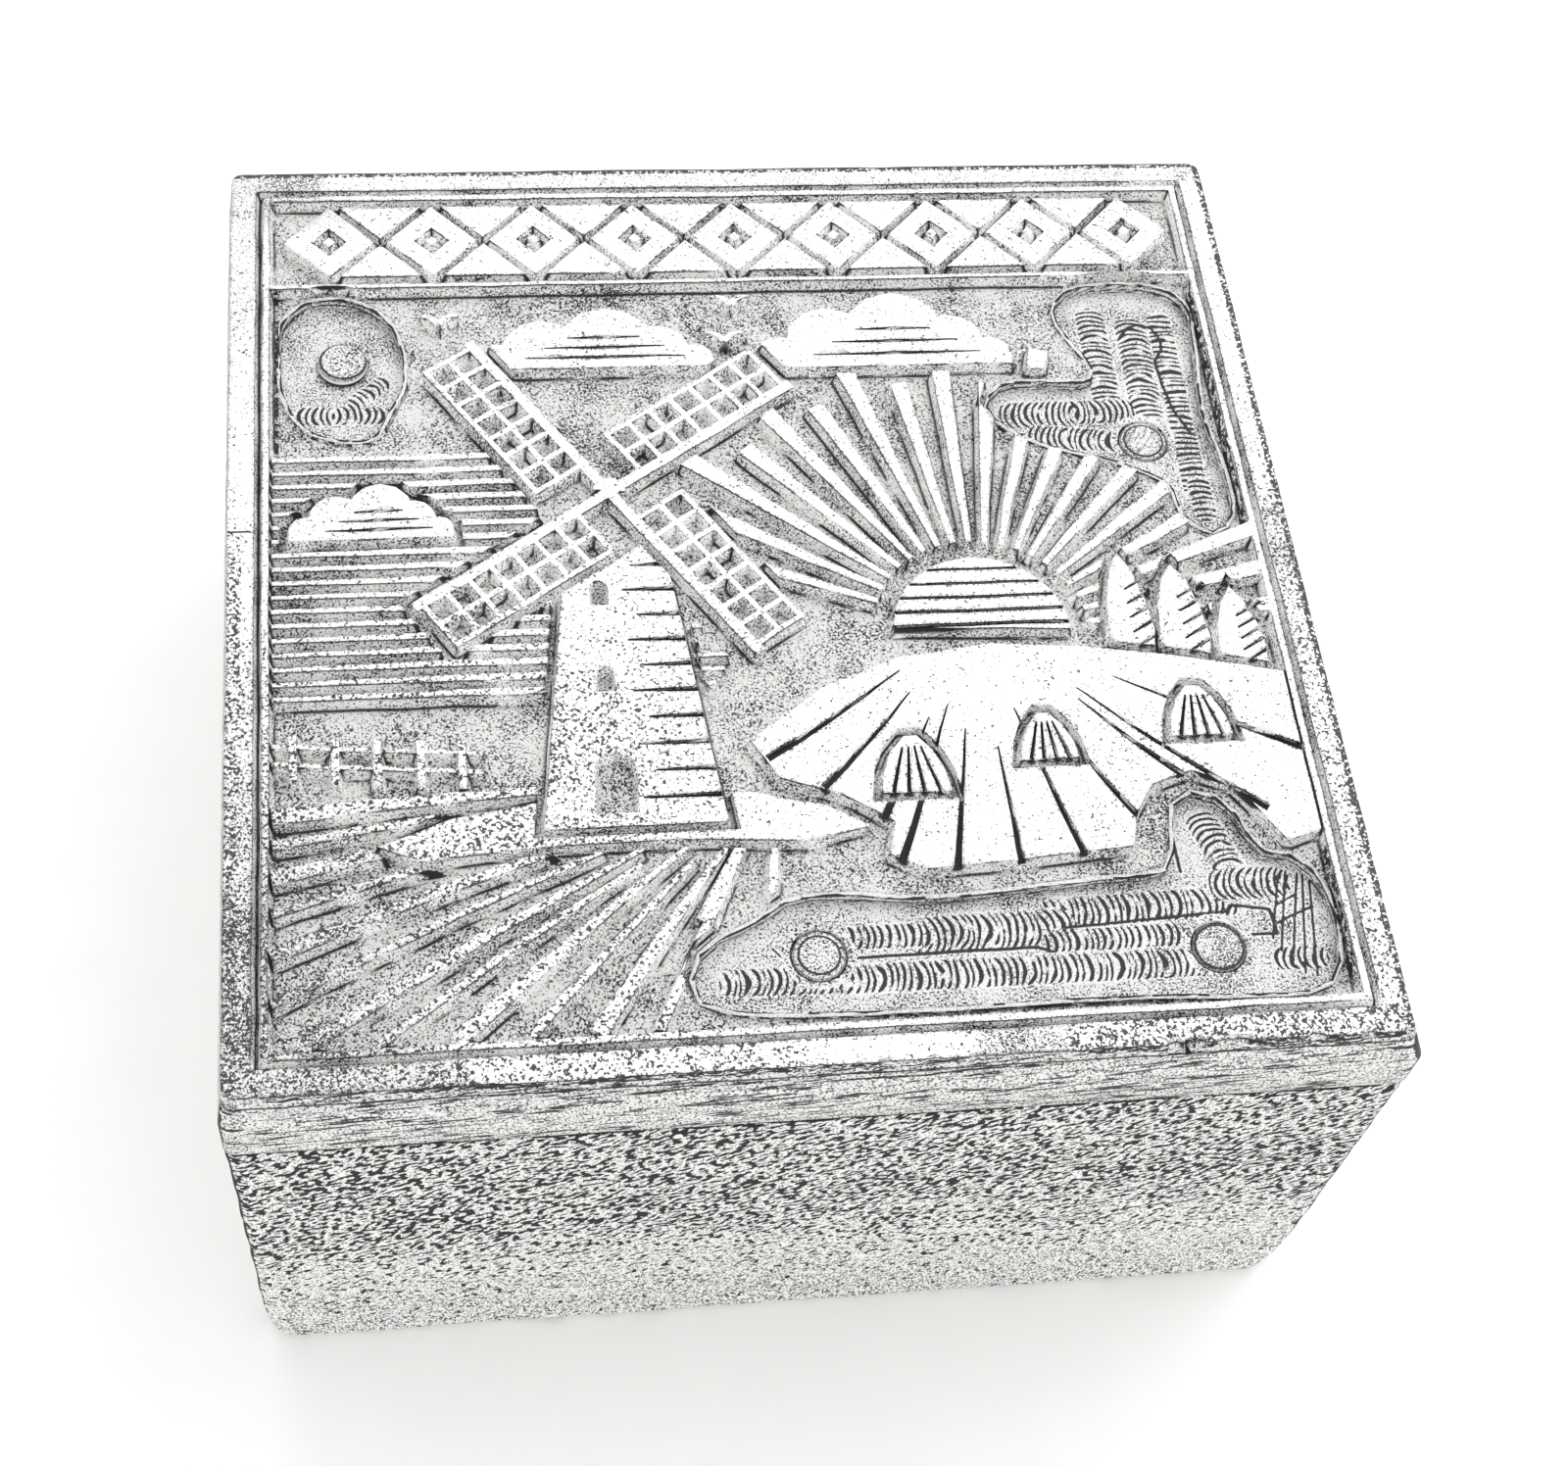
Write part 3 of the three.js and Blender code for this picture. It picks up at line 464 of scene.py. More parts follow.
def fall(tree, value, low, high):
    """A smooth step down: 1 where value is at low, 0 where it is at high."""
    return rise(tree, value, low, high, 1.0, 0.0)


# %% Height, slope and the values kept on points


def axis_of(tree, vector, axis):
    return node(tree, "ShaderNodeSeparateXYZ", {0: vector}).outputs[axis]


def slope_of(tree):
    """1 on level metal, 0 on an upright wall, whatever the smooth shading says."""
    return axis_of(tree, node(tree, "ShaderNodeNewGeometry").outputs["True Normal"], "Z")


def value_on_points(tree, name):
    return node(tree, "ShaderNodeAttribute", attribute_name=name).outputs["Fac"]


# %% Ragged lines along corners
BEVEL_SAMPLES = 8
CREASE_START = 0.01  # how far the two normals part where the line begins
NOISE_MIDDLE = 0.5


def crease(tree, radius_mm, full):
    """1 in a narrow line along every corner, inner or outer, of old ink and dirt and of painted shade."""
    rounded = node(tree, "ShaderNodeBevel", {"Radius": radius_mm * MM}, samples=BEVEL_SAMPLES)
    own = node(tree, "ShaderNodeNewGeometry").outputs["Normal"]
    both = {0: rounded.outputs["Normal"], 1: own}
    alike = node(tree, "ShaderNodeVectorMath", both, operation="DOT_PRODUCT").outputs["Value"]
    return fall(tree, alike, 1 - full, 1 - CREASE_START)


def swing(tree, grain, strength):
    """Noise made to swing as far below 0 as above it, which frays a line without moving it."""
    return times(tree, plus(tree, grain, -NOISE_MIDDLE), strength)


def frayed_crease(tree, grain, radius_mm, full, fray):
    return plus(tree, crease(tree, radius_mm, full), swing(tree, grain, fray))


# %% Bump, and the last links of a finish


def bump(tree, height, depth_mm):
    inputs = {"Height": height, "Distance": depth_mm * MM, "Strength": 1.0}
    return node(tree, "ShaderNodeBump", inputs).outputs["Normal"]


def dress(tree, shader, colour, height, depth_mm):
    """Feeds the shader its colour and a fine bump."""
    tree.links.new(colour, shader.inputs["Base Color"])
    tree.links.new(bump(tree, height, depth_mm), shader.inputs["Normal"])


# %% [markdown]
# ## Patches listed in a table
# Wear follows no rule: one corner of the face is dull, one stretch of the border is pitted. Such
# places could be painted on a texture, but a short table of soft rectangles is easier to read and to
# change. Each row is a rectangle in millimetres, how softly it ends, and how strong it is, and where
# rows overlap the strongest wins.

# %% Tables of patches: left, right, front, rear, soft x, soft y, strength
OUTSIDE = 25  # mm from the middle, beyond every edge of the block
DULLED_MM = [
    # dull patches on the printing face
    (-OUTSIDE, -17.0, -OUTSIDE, -14.0, 8.0, 8.0, 1.0),
    (-OUTSIDE, -19.42, -OUTSIDE, -8.0, 0.05, 10.0, 0.75),
    (-OUTSIDE, -19.42, 13.0, OUTSIDE, 0.05, 7.0, 0.6),
    (-OUTSIDE, -17.5, 18.0, OUTSIDE, 3.0, 2.0, 0.95),
    (-OUTSIDE, -14.0, -OUTSIDE, -19.05, 3.5, 0.05, 1.0),
    (-OUTSIDE, OUTSIDE, 19.1, OUTSIDE, 0.1, 0.05, 0.55),
    (4.9, 7.2, -OUTSIDE, -19.05, 1.2, 0.05, 0.9),
    (18.75, OUTSIDE, -0.4, 1.6, 0.05, 1.6, 0.9),
]
FLECKED_MM = [
    # where dark flecks crowd together
    (-OUTSIDE, -9.0, -OUTSIDE, -7.0, 10.0, 10.0, 0.10),
    (-OUTSIDE, -19.8, -OUTSIDE, 0.0, 0.1, 4.0, 0.14),
    (-13.0, -2.0, -OUTSIDE, -19.05, 2.0, 0.05, 0.10),
    (7.8, OUTSIDE, -OUTSIDE, -19.05, 0.4, 0.05, 0.125),
    (18.75, OUTSIDE, -OUTSIDE, 2.0, 0.05, 5.0, 0.10),
    (19.45, OUTSIDE, -OUTSIDE, OUTSIDE, 0.1, 1.0, 0.22),
    (-OUTSIDE, OUTSIDE, 19.95, OUTSIDE, 1.0, 0.1, 0.20),
    (-OUTSIDE, OUTSIDE, 20.07, OUTSIDE, 1.0, 0.02, 0.40),
]
CUTS_MM = [
    # thin knocks that hold ink
    (-OUTSIDE, -19.45, 2.39, 2.45, 0.02, 0.03, 1.0),
    (11.6, 12.5, -19.86, -19.80, 0.05, 0.03, 1.0),
]
KNOCKED_MM = [
    # stretches of the arris whose lip has been knocked down
    (-14, 1, -OUTSIDE, 0, 1.0, 1.0, 0.84),
    (8, OUTSIDE, -OUTSIDE, 0, 1.0, 1.0, 0.85),
    (19, OUTSIDE, -OUTSIDE, OUTSIDE, 0.1, 1.0, 0.9),
]
BARE_MM = [
    # where the rear right pocket has shaved the rule thin, and neither ink nor painted shade lies along
    # it
    (12.0, 16.6, 13.95, 14.35, 0.2, 0.03, 0.8),
]
TORN_MM = [
    # ragged burrs along the rule's inner side
    (-4.0, 17.6, -18.46, -18.30, 0.3, 0.03, 1.0),
    (17.98, 18.12, 1.0, 13.5, 0.03, 0.5, 1.0),
    (17.98, 18.12, -17.5, -12.8, 0.03, 0.5, 1.0),
    (-18.62, -18.48, 6.5, 14.0, 0.03, 0.5, 1.0),
]


def between(tree, value, start, end, soft):
    """1 where value lies between two places in mm, falling to 0 over a soft edge outside them."""
    up = rise(tree, value, (start - soft) * MM, start * MM)
    return times(tree, up, fall(tree, value, end * MM, (end + soft) * MM))


def patches(tree, where, table):
    """The strongest of a table of soft rectangles."""
    x = axis_of(tree, where, "X")
    y = axis_of(tree, where, "Y")
    strongest = None
    for left, right, front, rear, soft_x, soft_y, strength in table:
        across = between(tree, x, left, right, soft_x)
        along = between(tree, y, front, rear, soft_y)
        share = times(tree, times(tree, across, along), strength)
        strongest = share if strongest is None else most(tree, strongest, share)
    return strongest


print("patches:", len(DULLED_MM), "dull,", len(FLECKED_MM), "flecked,", len(TORN_MM), "torn")

# %% [markdown]
# ## Pebbled, flecked and shaved metal
# Metal that never prints keeps the fine pebbles of its mould, with ink between them. Two noises make
# it: a fine one for the pebbles, and a broad, weak one so that they crowd in places. The face has
# only a few specks and squiggles, so a much higher step cuts them from their noise. On the sides a
# plane has left fine lines, and there the same noise is drawn out sideways and turned a little.

# %% Pebbled metal
# black of old ink, also used for painted shade and painted shadow along corners, burrs, nail feet and the
# joint
INK_AND_SHADE_BLACK = grey(0.012)
BRIGHT = grey(0.84)
PEBBLED = grey(0.68)
PEBBLES = {"grain_mm": 0.08, "roughness": 0.7}
PEBBLE_CLOUDS = {"grain_mm": 1.6, "detail": 4}
CLOUD_SHARE = 0.3
CLEAN_SHARE = 0.2  # how much rarer pebbles are on clean metal
PEBBLE_STEP = (0.575, 0.635)


def stippled(tree, where, spread=1.0, light=PEBBLED):
    """Pebbled grey and its grain; where spread is 0 it leaves bright metal."""
    fine = speckle(tree, where, **PEBBLES)
    cloud = speckle(tree, where, **PEBBLE_CLOUDS)
    tone = plus(tree, times(tree, cloud, CLOUD_SHARE), fine)
    tone = plus(tree, tone, times(tree, one_minus(tree, spread), CLEAN_SHARE))
    light = blend_colour(tree, spread, BRIGHT, light)
    return blend_colour(tree, rise(tree, tone, *PEBBLE_STEP), INK_AND_SHADE_BLACK, light), fine


# %% Flecks on the face
SQUIGGLES = {"grain_mm": 0.115, "roughness": 0.55}
FLECK_CLOUDS = {"grain_mm": 2.5}
FLECK_CLOUD_SHARE = 0.12
FLECK_STEP = (0.70, 0.72)


def flecks(tree, where):
    """Small dark specks and squiggles left by the mould, few on the clean parts of the face."""
    crowded = plus(tree, speckle(tree, where, **SQUIGGLES), patches(tree, where, FLECKED_MM))
    cloud = times(tree, speckle(tree, where, **FLECK_CLOUDS), FLECK_CLOUD_SHARE)
    return rise(tree, plus(tree, crowded, cloud), *FLECK_STEP)


# %% Shaved sides
SIDE_GREYS = (grey(0.06), grey(0.86))
SIDE_PEBBLES = {"grain_mm": 0.075, "stretch": (1.3, 1.3, 1.6), "roughness": 0.7}
SIDE_STEP = (0.40, 0.50)
STREAK_GREY = grey(0.02)
PLANE_TURN = (0, -0.09, 0)  # the lines climb a little to the right
STREAKS = {"grain_mm": 0.115, "stretch": (10, 10, 1), "turn": PLANE_TURN, "roughness": 0.6}
STREAK_CLOUDS = {"grain_mm": 0.6, "stretch": (8, 8, 1), "turn": PLANE_TURN}
STREAK_CLOUD_SHARE = 0.25
STREAK_STEP = (0.68, 0.71)
LIP_MM = (FACE_Z / MM - 0.36, FACE_Z / MM - 0.02)
LIP_SOFT_MM = 0.05
LIP_TEARS = {"grain_mm": 0.14, "stretch": (2, 2, 1), "roughness": 0.6}
LIP_STEP = (1.28, 1.36)


def shaved_side(tree, where):
    """The plate's flanks with their fine wavy lines, and the lines' own noise."""
    fine = speckle(tree, where, **SIDE_PEBBLES)
    colour = blend_colour(tree, rise(tree, fine, *SIDE_STEP), *SIDE_GREYS)
    streaks = speckle(tree, where, **STREAKS)
    broad = times(tree, speckle(tree, where, **STREAK_CLOUDS), STREAK_CLOUD_SHARE)
    colour = blend_colour(tree, rise(tree, plus(tree, streaks, broad), *STREAK_STEP), colour, STREAK_GREY)
    lip = between(tree, axis_of(tree, where, "Z"), *LIP_MM, LIP_SOFT_MM)
    lip = times(tree, lip, patches(tree, where, KNOCKED_MM))
    torn = rise(tree, plus(tree, lip, speckle(tree, where, **LIP_TEARS)), *LIP_STEP)
    return blend_colour(tree, torn, colour, INK_AND_SHADE_BLACK), streaks


# %% [markdown]
# ## The finish of the relief shell
# The shell's finish goes on in the order of its history: first the dull metal of walls and floor,
# then the rubbed printing face, the ink in the engraved lines, the shaved flanks outside the face,
# and last the black along corners, partly old ink and partly painted shade, and the painted shadow
# round the pockets. Each step is one function, and a share worked out from height and slope says
# where it shows.

# %% Where the shell is level, prints or stands over the floor
LEVEL_SLOPE = (0.75, 0.92)
PRINTING_Z = (FACE_Z - 0.16 * MM, FACE_Z - 0.08 * MM)
RIM_Z = (FLOOR_Z + 0.08 * MM, FLOOR_Z + 0.12 * MM)
OUTER_EDGE = (-0.07 * MM, -0.03 * MM)

shell_points = [vert.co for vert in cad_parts["relief_shell"].data.vertices]
face_points = [point for point in shell_points if point.z > FACE_Z - CLOSE]
face_ends = [[pick(point[i] for point in face_points) for i in (0, 1)] for pick in (min, max)]
FACE_MIDDLE = [(face_ends[0][i] + face_ends[1][i]) / 2 for i in (0, 1)]
FACE_HALF = [(face_ends[1][i] - face_ends[0][i]) / 2 for i in (0, 1)]


def shell_shares(tree, where):
    """Shares for level metal, for the printing face, and for all that stands over the floor."""
    z = axis_of(tree, where, "Z")
    level = rise(tree, slope_of(tree), *LEVEL_SLOPE)
    face = times(tree, level, rise(tree, z, *PRINTING_Z))
    rim = times(tree, level, rise(tree, z, *RIM_Z))
    return level, face, rim


def outside_the_face(tree, where):
    """1 beyond the rectangle of the printing face."""
    past = []
    for i in (0, 1):
        from_middle = plus(tree, axis_of(tree, where, "XY"[i]), -FACE_MIDDLE[i])
        past.append(plus(tree, without_sign(tree, from_middle), -FACE_HALF[i]))
    return rise(tree, most(tree, *past), *OUTER_EDGE)


print("printing face", [round(2 * half / MM, 2) for half in FACE_HALF], "mm")

# %% Walls and floor
# painted light: walls get a lighter grey than the floor to cancel the shade in narrow grooves
WALL_GREY_PAINTED_LIGHT = grey(0.92)
RIM_GREY = grey(0.74)
RIM_SHARE = 0.6
TEARS = {"grain_mm": 0.14, "detail": 3, "stretch": (2, 2, 1), "roughness": 0.6}
TEAR_STEP = (0.45, 0.50)


def walls_and_floor(tree, where, level, rim):
    """The dull metal under the face, its walls painted lighter than the floor to cancel their shade, and
    its grain.
    """
    dull, fine = stippled(tree, where, 1.0, blend_colour(tree, level, WALL_GREY_PAINTED_LIGHT, PEBBLED))
    dull = blend_colour(tree, times(tree, rim, RIM_SHARE), dull, RIM_GREY)
    torn = rise(tree, speckle(tree, where, **TEARS), *TEAR_STEP)
    torn = times(tree, patches(tree, where, TORN_MM), torn)
    return blend_colour(tree, torn, dull, INK_AND_SHADE_BLACK), fine


# %% Printing face
FLECK_GREY = grey(0.03)
HAIRS = {"grain_mm": 0.03, "detail": 3, "stretch": (50, 1, 1), "turn": (0, 0, -0.3)}
HAIR_STEP = (0.72, 0.76)


def printing_face(tree, where):
    """Bright metal with dull patches, flecks, hair scratches and two inked knocks."""
    hairs = rise(tree, speckle(tree, where, **HAIRS), *HAIR_STEP)
    worn = most(tree, flecks(tree, where), hairs)
    bright, _ = stippled(tree, where, patches(tree, where, DULLED_MM))
    bright = blend_colour(tree, worn, bright, FLECK_GREY)
    return blend_colour(tree, patches(tree, where, CUTS_MM), bright, INK_AND_SHADE_BLACK)


# %% Ink in lines, ink and painted shade along corners, painted shadow round the pockets
ENGRAVED_STEP = (ENGRAVED_Z - 0.05 * MM, ENGRAVED_Z - 0.02 * MM)
BURR_Z = (FLOOR_Z + 0.2 * MM, FLOOR_Z + 0.25 * MM)
RIM_CLEAN = 0.62
BURR_CLEAN = 0.9
SHELL_CREASE = {"radius_mm": 0.26, "full": 0.06, "fray": 0.8}
CREASE_STEP = (0.36, 0.46)
POCKET_LINE_STEP = (0.36, 0.5)


def engraved_lines(tree, where, level, face):
    deep = rise(tree, axis_of(tree, where, "Z"), *ENGRAVED_STEP)
    return times(tree, times(tree, deep, one_minus(tree, face)), level)


def inked_and_shaded_corners(tree, where, fine, rim):
    """Ink and painted shade along corners, but little on rims, on burrs and on the shaved rule."""
    over_burr = rise(tree, axis_of(tree, where, "Z"), *BURR_Z)
    burr = times(tree, rim, one_minus(tree, over_burr))
    clean = most(tree, times(tree, rim, RIM_CLEAN), times(tree, burr, BURR_CLEAN))
    clean = most(tree, clean, patches(tree, where, BARE_MM))
    return rise(tree, minus(tree, frayed_crease(tree, fine, **SHELL_CREASE), clean), *CREASE_STEP)


# painted shadow: a black line along the inner edge of each pocket's burr
def pocket_lines(tree, level):
    return times(tree, level, rise(tree, value_on_points(tree, "pocket_edge"), *POCKET_LINE_STEP))


# %% Finish of the relief shell
SHELL_BUMP_MM = 0.05
DULL_ROUGHNESS = 0.75
FACE_ROUGHNESS = 0.5


def relief_finish():
    finish, tree, shader = new_finish("inked_relief_metal", metallic=0.1, roughness=0.5)
    where = place_on(tree)
    level, face, rim = shell_shares(tree, where)
    low, fine = walls_and_floor(tree, where, level, rim)
    colour = blend_colour(tree, face, low, printing_face(tree, where))
    colour = blend_colour(tree, engraved_lines(tree, where, level, face), colour, INK_AND_SHADE_BLACK)
    flank = times(tree, outside_the_face(tree, where), one_minus(tree, level))
    side, _ = shaved_side(tree, where)
    colour = blend_colour(tree, flank, colour, side)
    # old ink and painted shade along corners
    colour = blend_colour(tree, inked_and_shaded_corners(tree, where, fine, rim), colour, INK_AND_SHADE_BLACK)
    colour = blend_colour(tree, pocket_lines(tree, level), colour, INK_AND_SHADE_BLACK)
    dress(tree, shader, colour, times(tree, fine, one_minus(tree, face)), SHELL_BUMP_MM)
    roughness = rise(tree, face, 0, 1, DULL_ROUGHNESS, FACE_ROUGHNESS)
    tree.links.new(roughness, shader.inputs["Roughness"])
    return finish


wear(relief, relief_finish())

# %% [markdown]
# ## The backing plate and its routed pockets
# A router with a small round bit clears the blank parts of a plate, so that they can't pick up ink.
# The bit steps along a path and leaves a row of crescents, and a thin ridge stays between two
# passes. Each pass is a start, an end, a half width and the bow of its crescents. A floor point takes
# the last pass that reached it, as on the real plate, and the crescents come from a wave along the
# path, bent back by the bow.

# %% Router passes and knife strokes
PASSES_MM = [
    # start, end, half width, bow: the crescents bulge back towards the start
    ((14.2, -14.25), (8.2, -14.4), 0.66, 1.0),
    ((8.1, -14.9), (3.5, -14.95), 0.76, 1.0),
    ((3.3, -14.95), (0.7, -14.95), 0.50, 0.8),
    ((12.2, -15.45), (8.0, -15.5), 0.50, 0.7),
    ((12.6, -16.55), (0.2, -16.5), 0.62, 0.9),
    ((-0.2, -16.5), (-3.3, -16.4), 0.58, 0.8),
    ((14.1, -11.2), (14.7, -13.0), 0.66, 0.8),
    ((14.4, -13.6), (16.1, -13.6), 0.72, 0.8),
    ((16.0, -16.6), (17.1, -16.6), 0.50, 0.6),
    ((13.9, 12.4), (13.9, 8.7), 0.66, 1.0),
    ((15.5, 11.8), (15.45, 7.6), 0.74, 0.9),
    ((16.75, 12.2), (16.7, 3.9), 0.56, 1.4),
    ((16.85, 3.9), (16.85, 2.7), 0.50, 0.8),
    ((14.3, 7.7), (11.9, 7.7), 0.66, 0.9),
    ((10.1, 7.6), (11.9, 7.6), 0.74, 0.9),
    ((11.0, 6.5), (14.1, 6.2), 0.62, 0.8),
    ((-17.4, 8.4), (-16.0, 8.4), 0.50, 0.6),
    ((-14.9, 8.4), (-16.0, 8.4), 0.50, 0.6),
    ((-14.6, 9.9), (-15.5, 9.1), 0.42, 0.5),
]
RIDGES_MM = [
    # polylines: ridges left between two passes
    [(0.8, -15.7), (7.3, -15.66), (7.8, -15.85)],
    [(8.3, -14.98), (12.0, -14.76), (14.2, -14.66), (14.5, -14.42), (15.8, -14.66)],
    [(15.8, -14.66), (15.9, -15.6), (14.8, -15.6)],
    [(12.85, -11.2), (12.9, -13.0)],
    [(15.0, 11.5), (15.4, 12.0), (15.9, 12.15), (16.4, 11.9), (16.7, 11.3), (16.6, 10.8)],
    [(16.6, 10.8), (16.2, 10.2), (16.3, 9.0), (16.5, 7.8), (17.0, 6.6)],
]
STROKES_MM = [
    # thinner lines cut by a knife
    [(15.7, -15.8), (16.4, -13.3)],
    [(15.9, -16.3), (16.7, -13.2)],
    [(16.1, -14.5), (16.9, -14.1)],
    [(16.2, -16.9), (17.1, -13.3)],
    [(16.6, -17.2), (17.3, -13.3)],
    [(17.0, -17.3), (17.5, -13.6)],
    [(16.0, -15.2), (17.4, -14.6)],
    [(-1.9, -15.2), (-1.2, -16.0)],
]
print(len(PASSES_MM), "router passes,", len(RIDGES_MM), "ridges,", len(STROKES_MM), "knife strokes")

# %% Crescents of one pass
CRESCENT_PITCH = 0.26 * MM
CRESCENT_DEPTH = 0.05 * MM
CUP = 0.04 * MM
JITTER = 0.6  # of a crescent's pitch
JITTER_LENGTH, JITTER_WIDTH = 0.5, 1.2  # mm along the pass and across it
PASS_SPREAD = 7  # sets passes of different widths apart in the noise
BITE_LENGTH, BITE_WIDTH = 0.6, 0.4  # the same, for how deep each crescent is
BITE_LAYER = 5
BITE_LEVEL = 1.1
EDGE_STEEPNESS = 3
FAINTEST_MARK = 0.15


def clamp(value, low=0.0, high=1.0):
    return min(max(value, low), high)


def pass_floor(place, start, end, half, bow):
    """Height left by one pass and how dark its crescent is there, or None outside it."""
    heading = (end - start).normalized()
    offset = place - start
    along = offset.dot(heading)
    side = offset.cross(heading)
    beyond = max(-along, along - (end - start).length, 0.0)
    if side * side + beyond * beyond > half * half:
        return None
    back = math.sqrt(bow ** 2 - side * side)
    spot = Vector((along / JITTER_LENGTH, side / JITTER_WIDTH, half * PASS_SPREAD)) / MM
    turns = (along + back) / CRESCENT_PITCH + JITTER * noise.noise(spot)
    wave = 0.5 + 0.5 * math.cos(math.tau * turns)
    spot = Vector((along / BITE_LENGTH, side / BITE_WIDTH, BITE_LAYER)) / MM
    strength = clamp(BITE_LEVEL + noise.noise(spot))
    to_side = (side / half) ** 2
    bite = wave * strength * min((1 - to_side) * EDGE_STEEPNESS, 1.0)
    height = CUP * to_side + CRESCENT_DEPTH * (1 - bite)
    return height, FAINTEST_MARK + (1 - FAINTEST_MARK) * bite


# %% The floor of a pocket
UNTOUCHED = 0.06 * MM
RIDGE_REACH = 0.15 * MM
STROKE_REACH = 0.12 * MM
LINE_DEPTH = 0.03 * MM
GRAIN_SIZE = 0.35 * MM
GRAIN_HEIGHT = 0.01 * MM


def share_of_lines(place, lines, reach):
    """1 on a line, falling to 0 beside it."""
    nearest = reach
    for line in lines:
        corners = [Vector(corner) * MM for corner in line]
        for start, end in zip(corners, corners[1:]):
            run = end - start
            share = clamp((place - start).dot(run) / run.length_squared)
            nearest = min(nearest, (place - start - run * share).length)
    return 1 - nearest / reach


def pocket_floor(place):
    """(height over the pocket's floor, darkness of the tool mark) at a place; later passes win."""
    height, mark = UNTOUCHED, 0.0
    for start, end, half, bow in PASSES_MM:
        cut = pass_floor(place, Vector(start) * MM, Vector(end) * MM, half * MM, bow * MM)
        if cut:
            height, mark = cut
    ridge = share_of_lines(place, RIDGES_MM, RIDGE_REACH)
    line = max(ridge, share_of_lines(place, STROKES_MM, STROKE_REACH))
    grain = noise.noise(place.to_3d() / GRAIN_SIZE) * GRAIN_HEIGHT
    return height + grain - LINE_DEPTH * line, max(mark, line)


# %% Slice the backing plate
MARK_GRID = 0.07 * MM
BACKING_SLICE = 0.9 * MM
SIDE_SLOPE = 0.5  # an upright face's normal rises less than this
FLOOR_SLOPE = 0.9  # a floor's normal rises more than this
FLOOR_NEAR = 0.05 * MM  # a floor face's middle lies this near to the pocket's height
FRONT_POCKET_Y = -8 * MM

POCKETS = [
    lambda place: place.y < FRONT_POCKET_Y,
    lambda place: place.y > 0 and place.x < 0,
    lambda place: place.y > 0 and place.x > 0,
]


def is_floor(face):
    off_the_floor = abs(face.calc_center_median().z - POCKET_Z)
    return face.normal.z > FLOOR_SLOPE and off_the_floor < FLOOR_NEAR


bm = copy_of("backing_plate")
for axis in (0, 1):
    upright = [face for face in bm.faces if abs(face.normal.z) < SIDE_SLOPE]
    slice_across(bm, geometry_of(upright), axis, BACKING_SLICE)
for pocket in POCKETS:
    floors = [face for face in bm.faces if is_floor(face) and pocket(face.calc_center_median())]
    parts = geometry_of(floors)
    for axis in (0, 1):
        parts = slice_across(bm, parts, axis, MARK_GRID)
print("the backing is sliced into", len(bm.faces), "faces")

# %% Shape of the backing plate
SEAT_RING = 1.15 * MM
SEAT_SOFT = 0.2 * MM
STILL_RING_MM = 1.2
MOST_WAVER = 0.6
JOINT_GAP_MM = 0.03
JOINT_CHIP_MM = 0.05
JOINT_GRAIN = 0.9 * MM


def nearest_nail(place):
    return min((place.xy - nail.xy).length for nail in nail_places.values())


mark_layer = bm.verts.layers.float.new("tool_mark")
for vert in bm.verts:
    if abs(vert.co.z - POCKET_Z) < CLOSE:
        height, mark = pocket_floor(vert.co.xy)
        off_the_seat = clamp((nearest_nail(vert.co) - SEAT_RING) / SEAT_SOFT)
        vert[mark_layer] = mark * off_the_seat
        vert.co.z += height * off_the_seat
    at_foot = vert.co.z < JOINT_Z + CLOSE
    vert.co += waver(vert.co) * clamp(nearest_nail(vert.co) / MM - STILL_RING_MM, 0.0, MOST_WAVER)
    for axis in (0, 1):
        vert.co[axis] = clamp(vert.co[axis], plate_low[axis], plate_high[axis])
    if at_foot:
        chip = max(noise.noise(vert.co / JOINT_GRAIN), 0.0)
        vert.co.z += (JOINT_GAP_MM + JOINT_CHIP_MM * chip) * MM
backing = put_in_scene("backing_metal", bm)
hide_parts("backing_plate")
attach(backing, "root")

# %% [markdown]
# ## The finish of the backing plate
# On the real plate the pockets are pebbled like the rest of the metal, with ink in every crescent,
# and the sides show the plane's lines. Each floor point carries how deep the tool bit there, which a
# step with frayed edges turns into ink, so the drawing follows the cut exactly. A thin line of painted
# shade runs down the upright corners. It is found from the way the side faces. Towards the foot the
# corners are rounder, so there the side has to face farther round before it counts, which keeps the
# line thin.

# %% Painted shade down the upright corners
CORNER_SHADE_Z = (1 * MM, 7 * MM)
LEFT_FACING = (0.90, 0.66)  # how far a side has to face left to be painted dark, at the two heights
RIGHT_FACING = (0.56, 0.40)
TURNED = (0.10, 0.16)
CORNER_SHADE_NOISE = {"grain_mm": 0.3, "detail": 3}
CORNER_SHADE_SHARE = 0.5
REAR_FACING = (-0.1, 0.1)
REAR_THINNING = -0.1
CORNER_SHADE_STEP = (0.27, 0.33)


def corner_shade_line(tree):
    """1 in a thin line of painted shade down the upright corners."""
    normal = node(tree, "ShaderNodeNewGeometry").outputs["Normal"]
    where = place_on(tree)
    z = axis_of(tree, where, "Z")
    across = axis_of(tree, normal, "X")
    back = axis_of(tree, normal, "Y")
    left = minus(tree, times(tree, across, -1.0), rise(tree, z, *CORNER_SHADE_Z, *LEFT_FACING))
    right = minus(tree, across, rise(tree, z, *CORNER_SHADE_Z, *RIGHT_FACING))
    frayed = times(tree, speckle(tree, where, **CORNER_SHADE_NOISE), CORNER_SHADE_SHARE)
    rear = times(tree, rise(tree, back, *REAR_FACING), REAR_THINNING)
    past = plus(tree, plus(tree, most(tree, left, right), frayed), rear)
    return times(tree, rise(tree, past, *CORNER_SHADE_STEP), rise(tree, without_sign(tree, back), *TURNED))


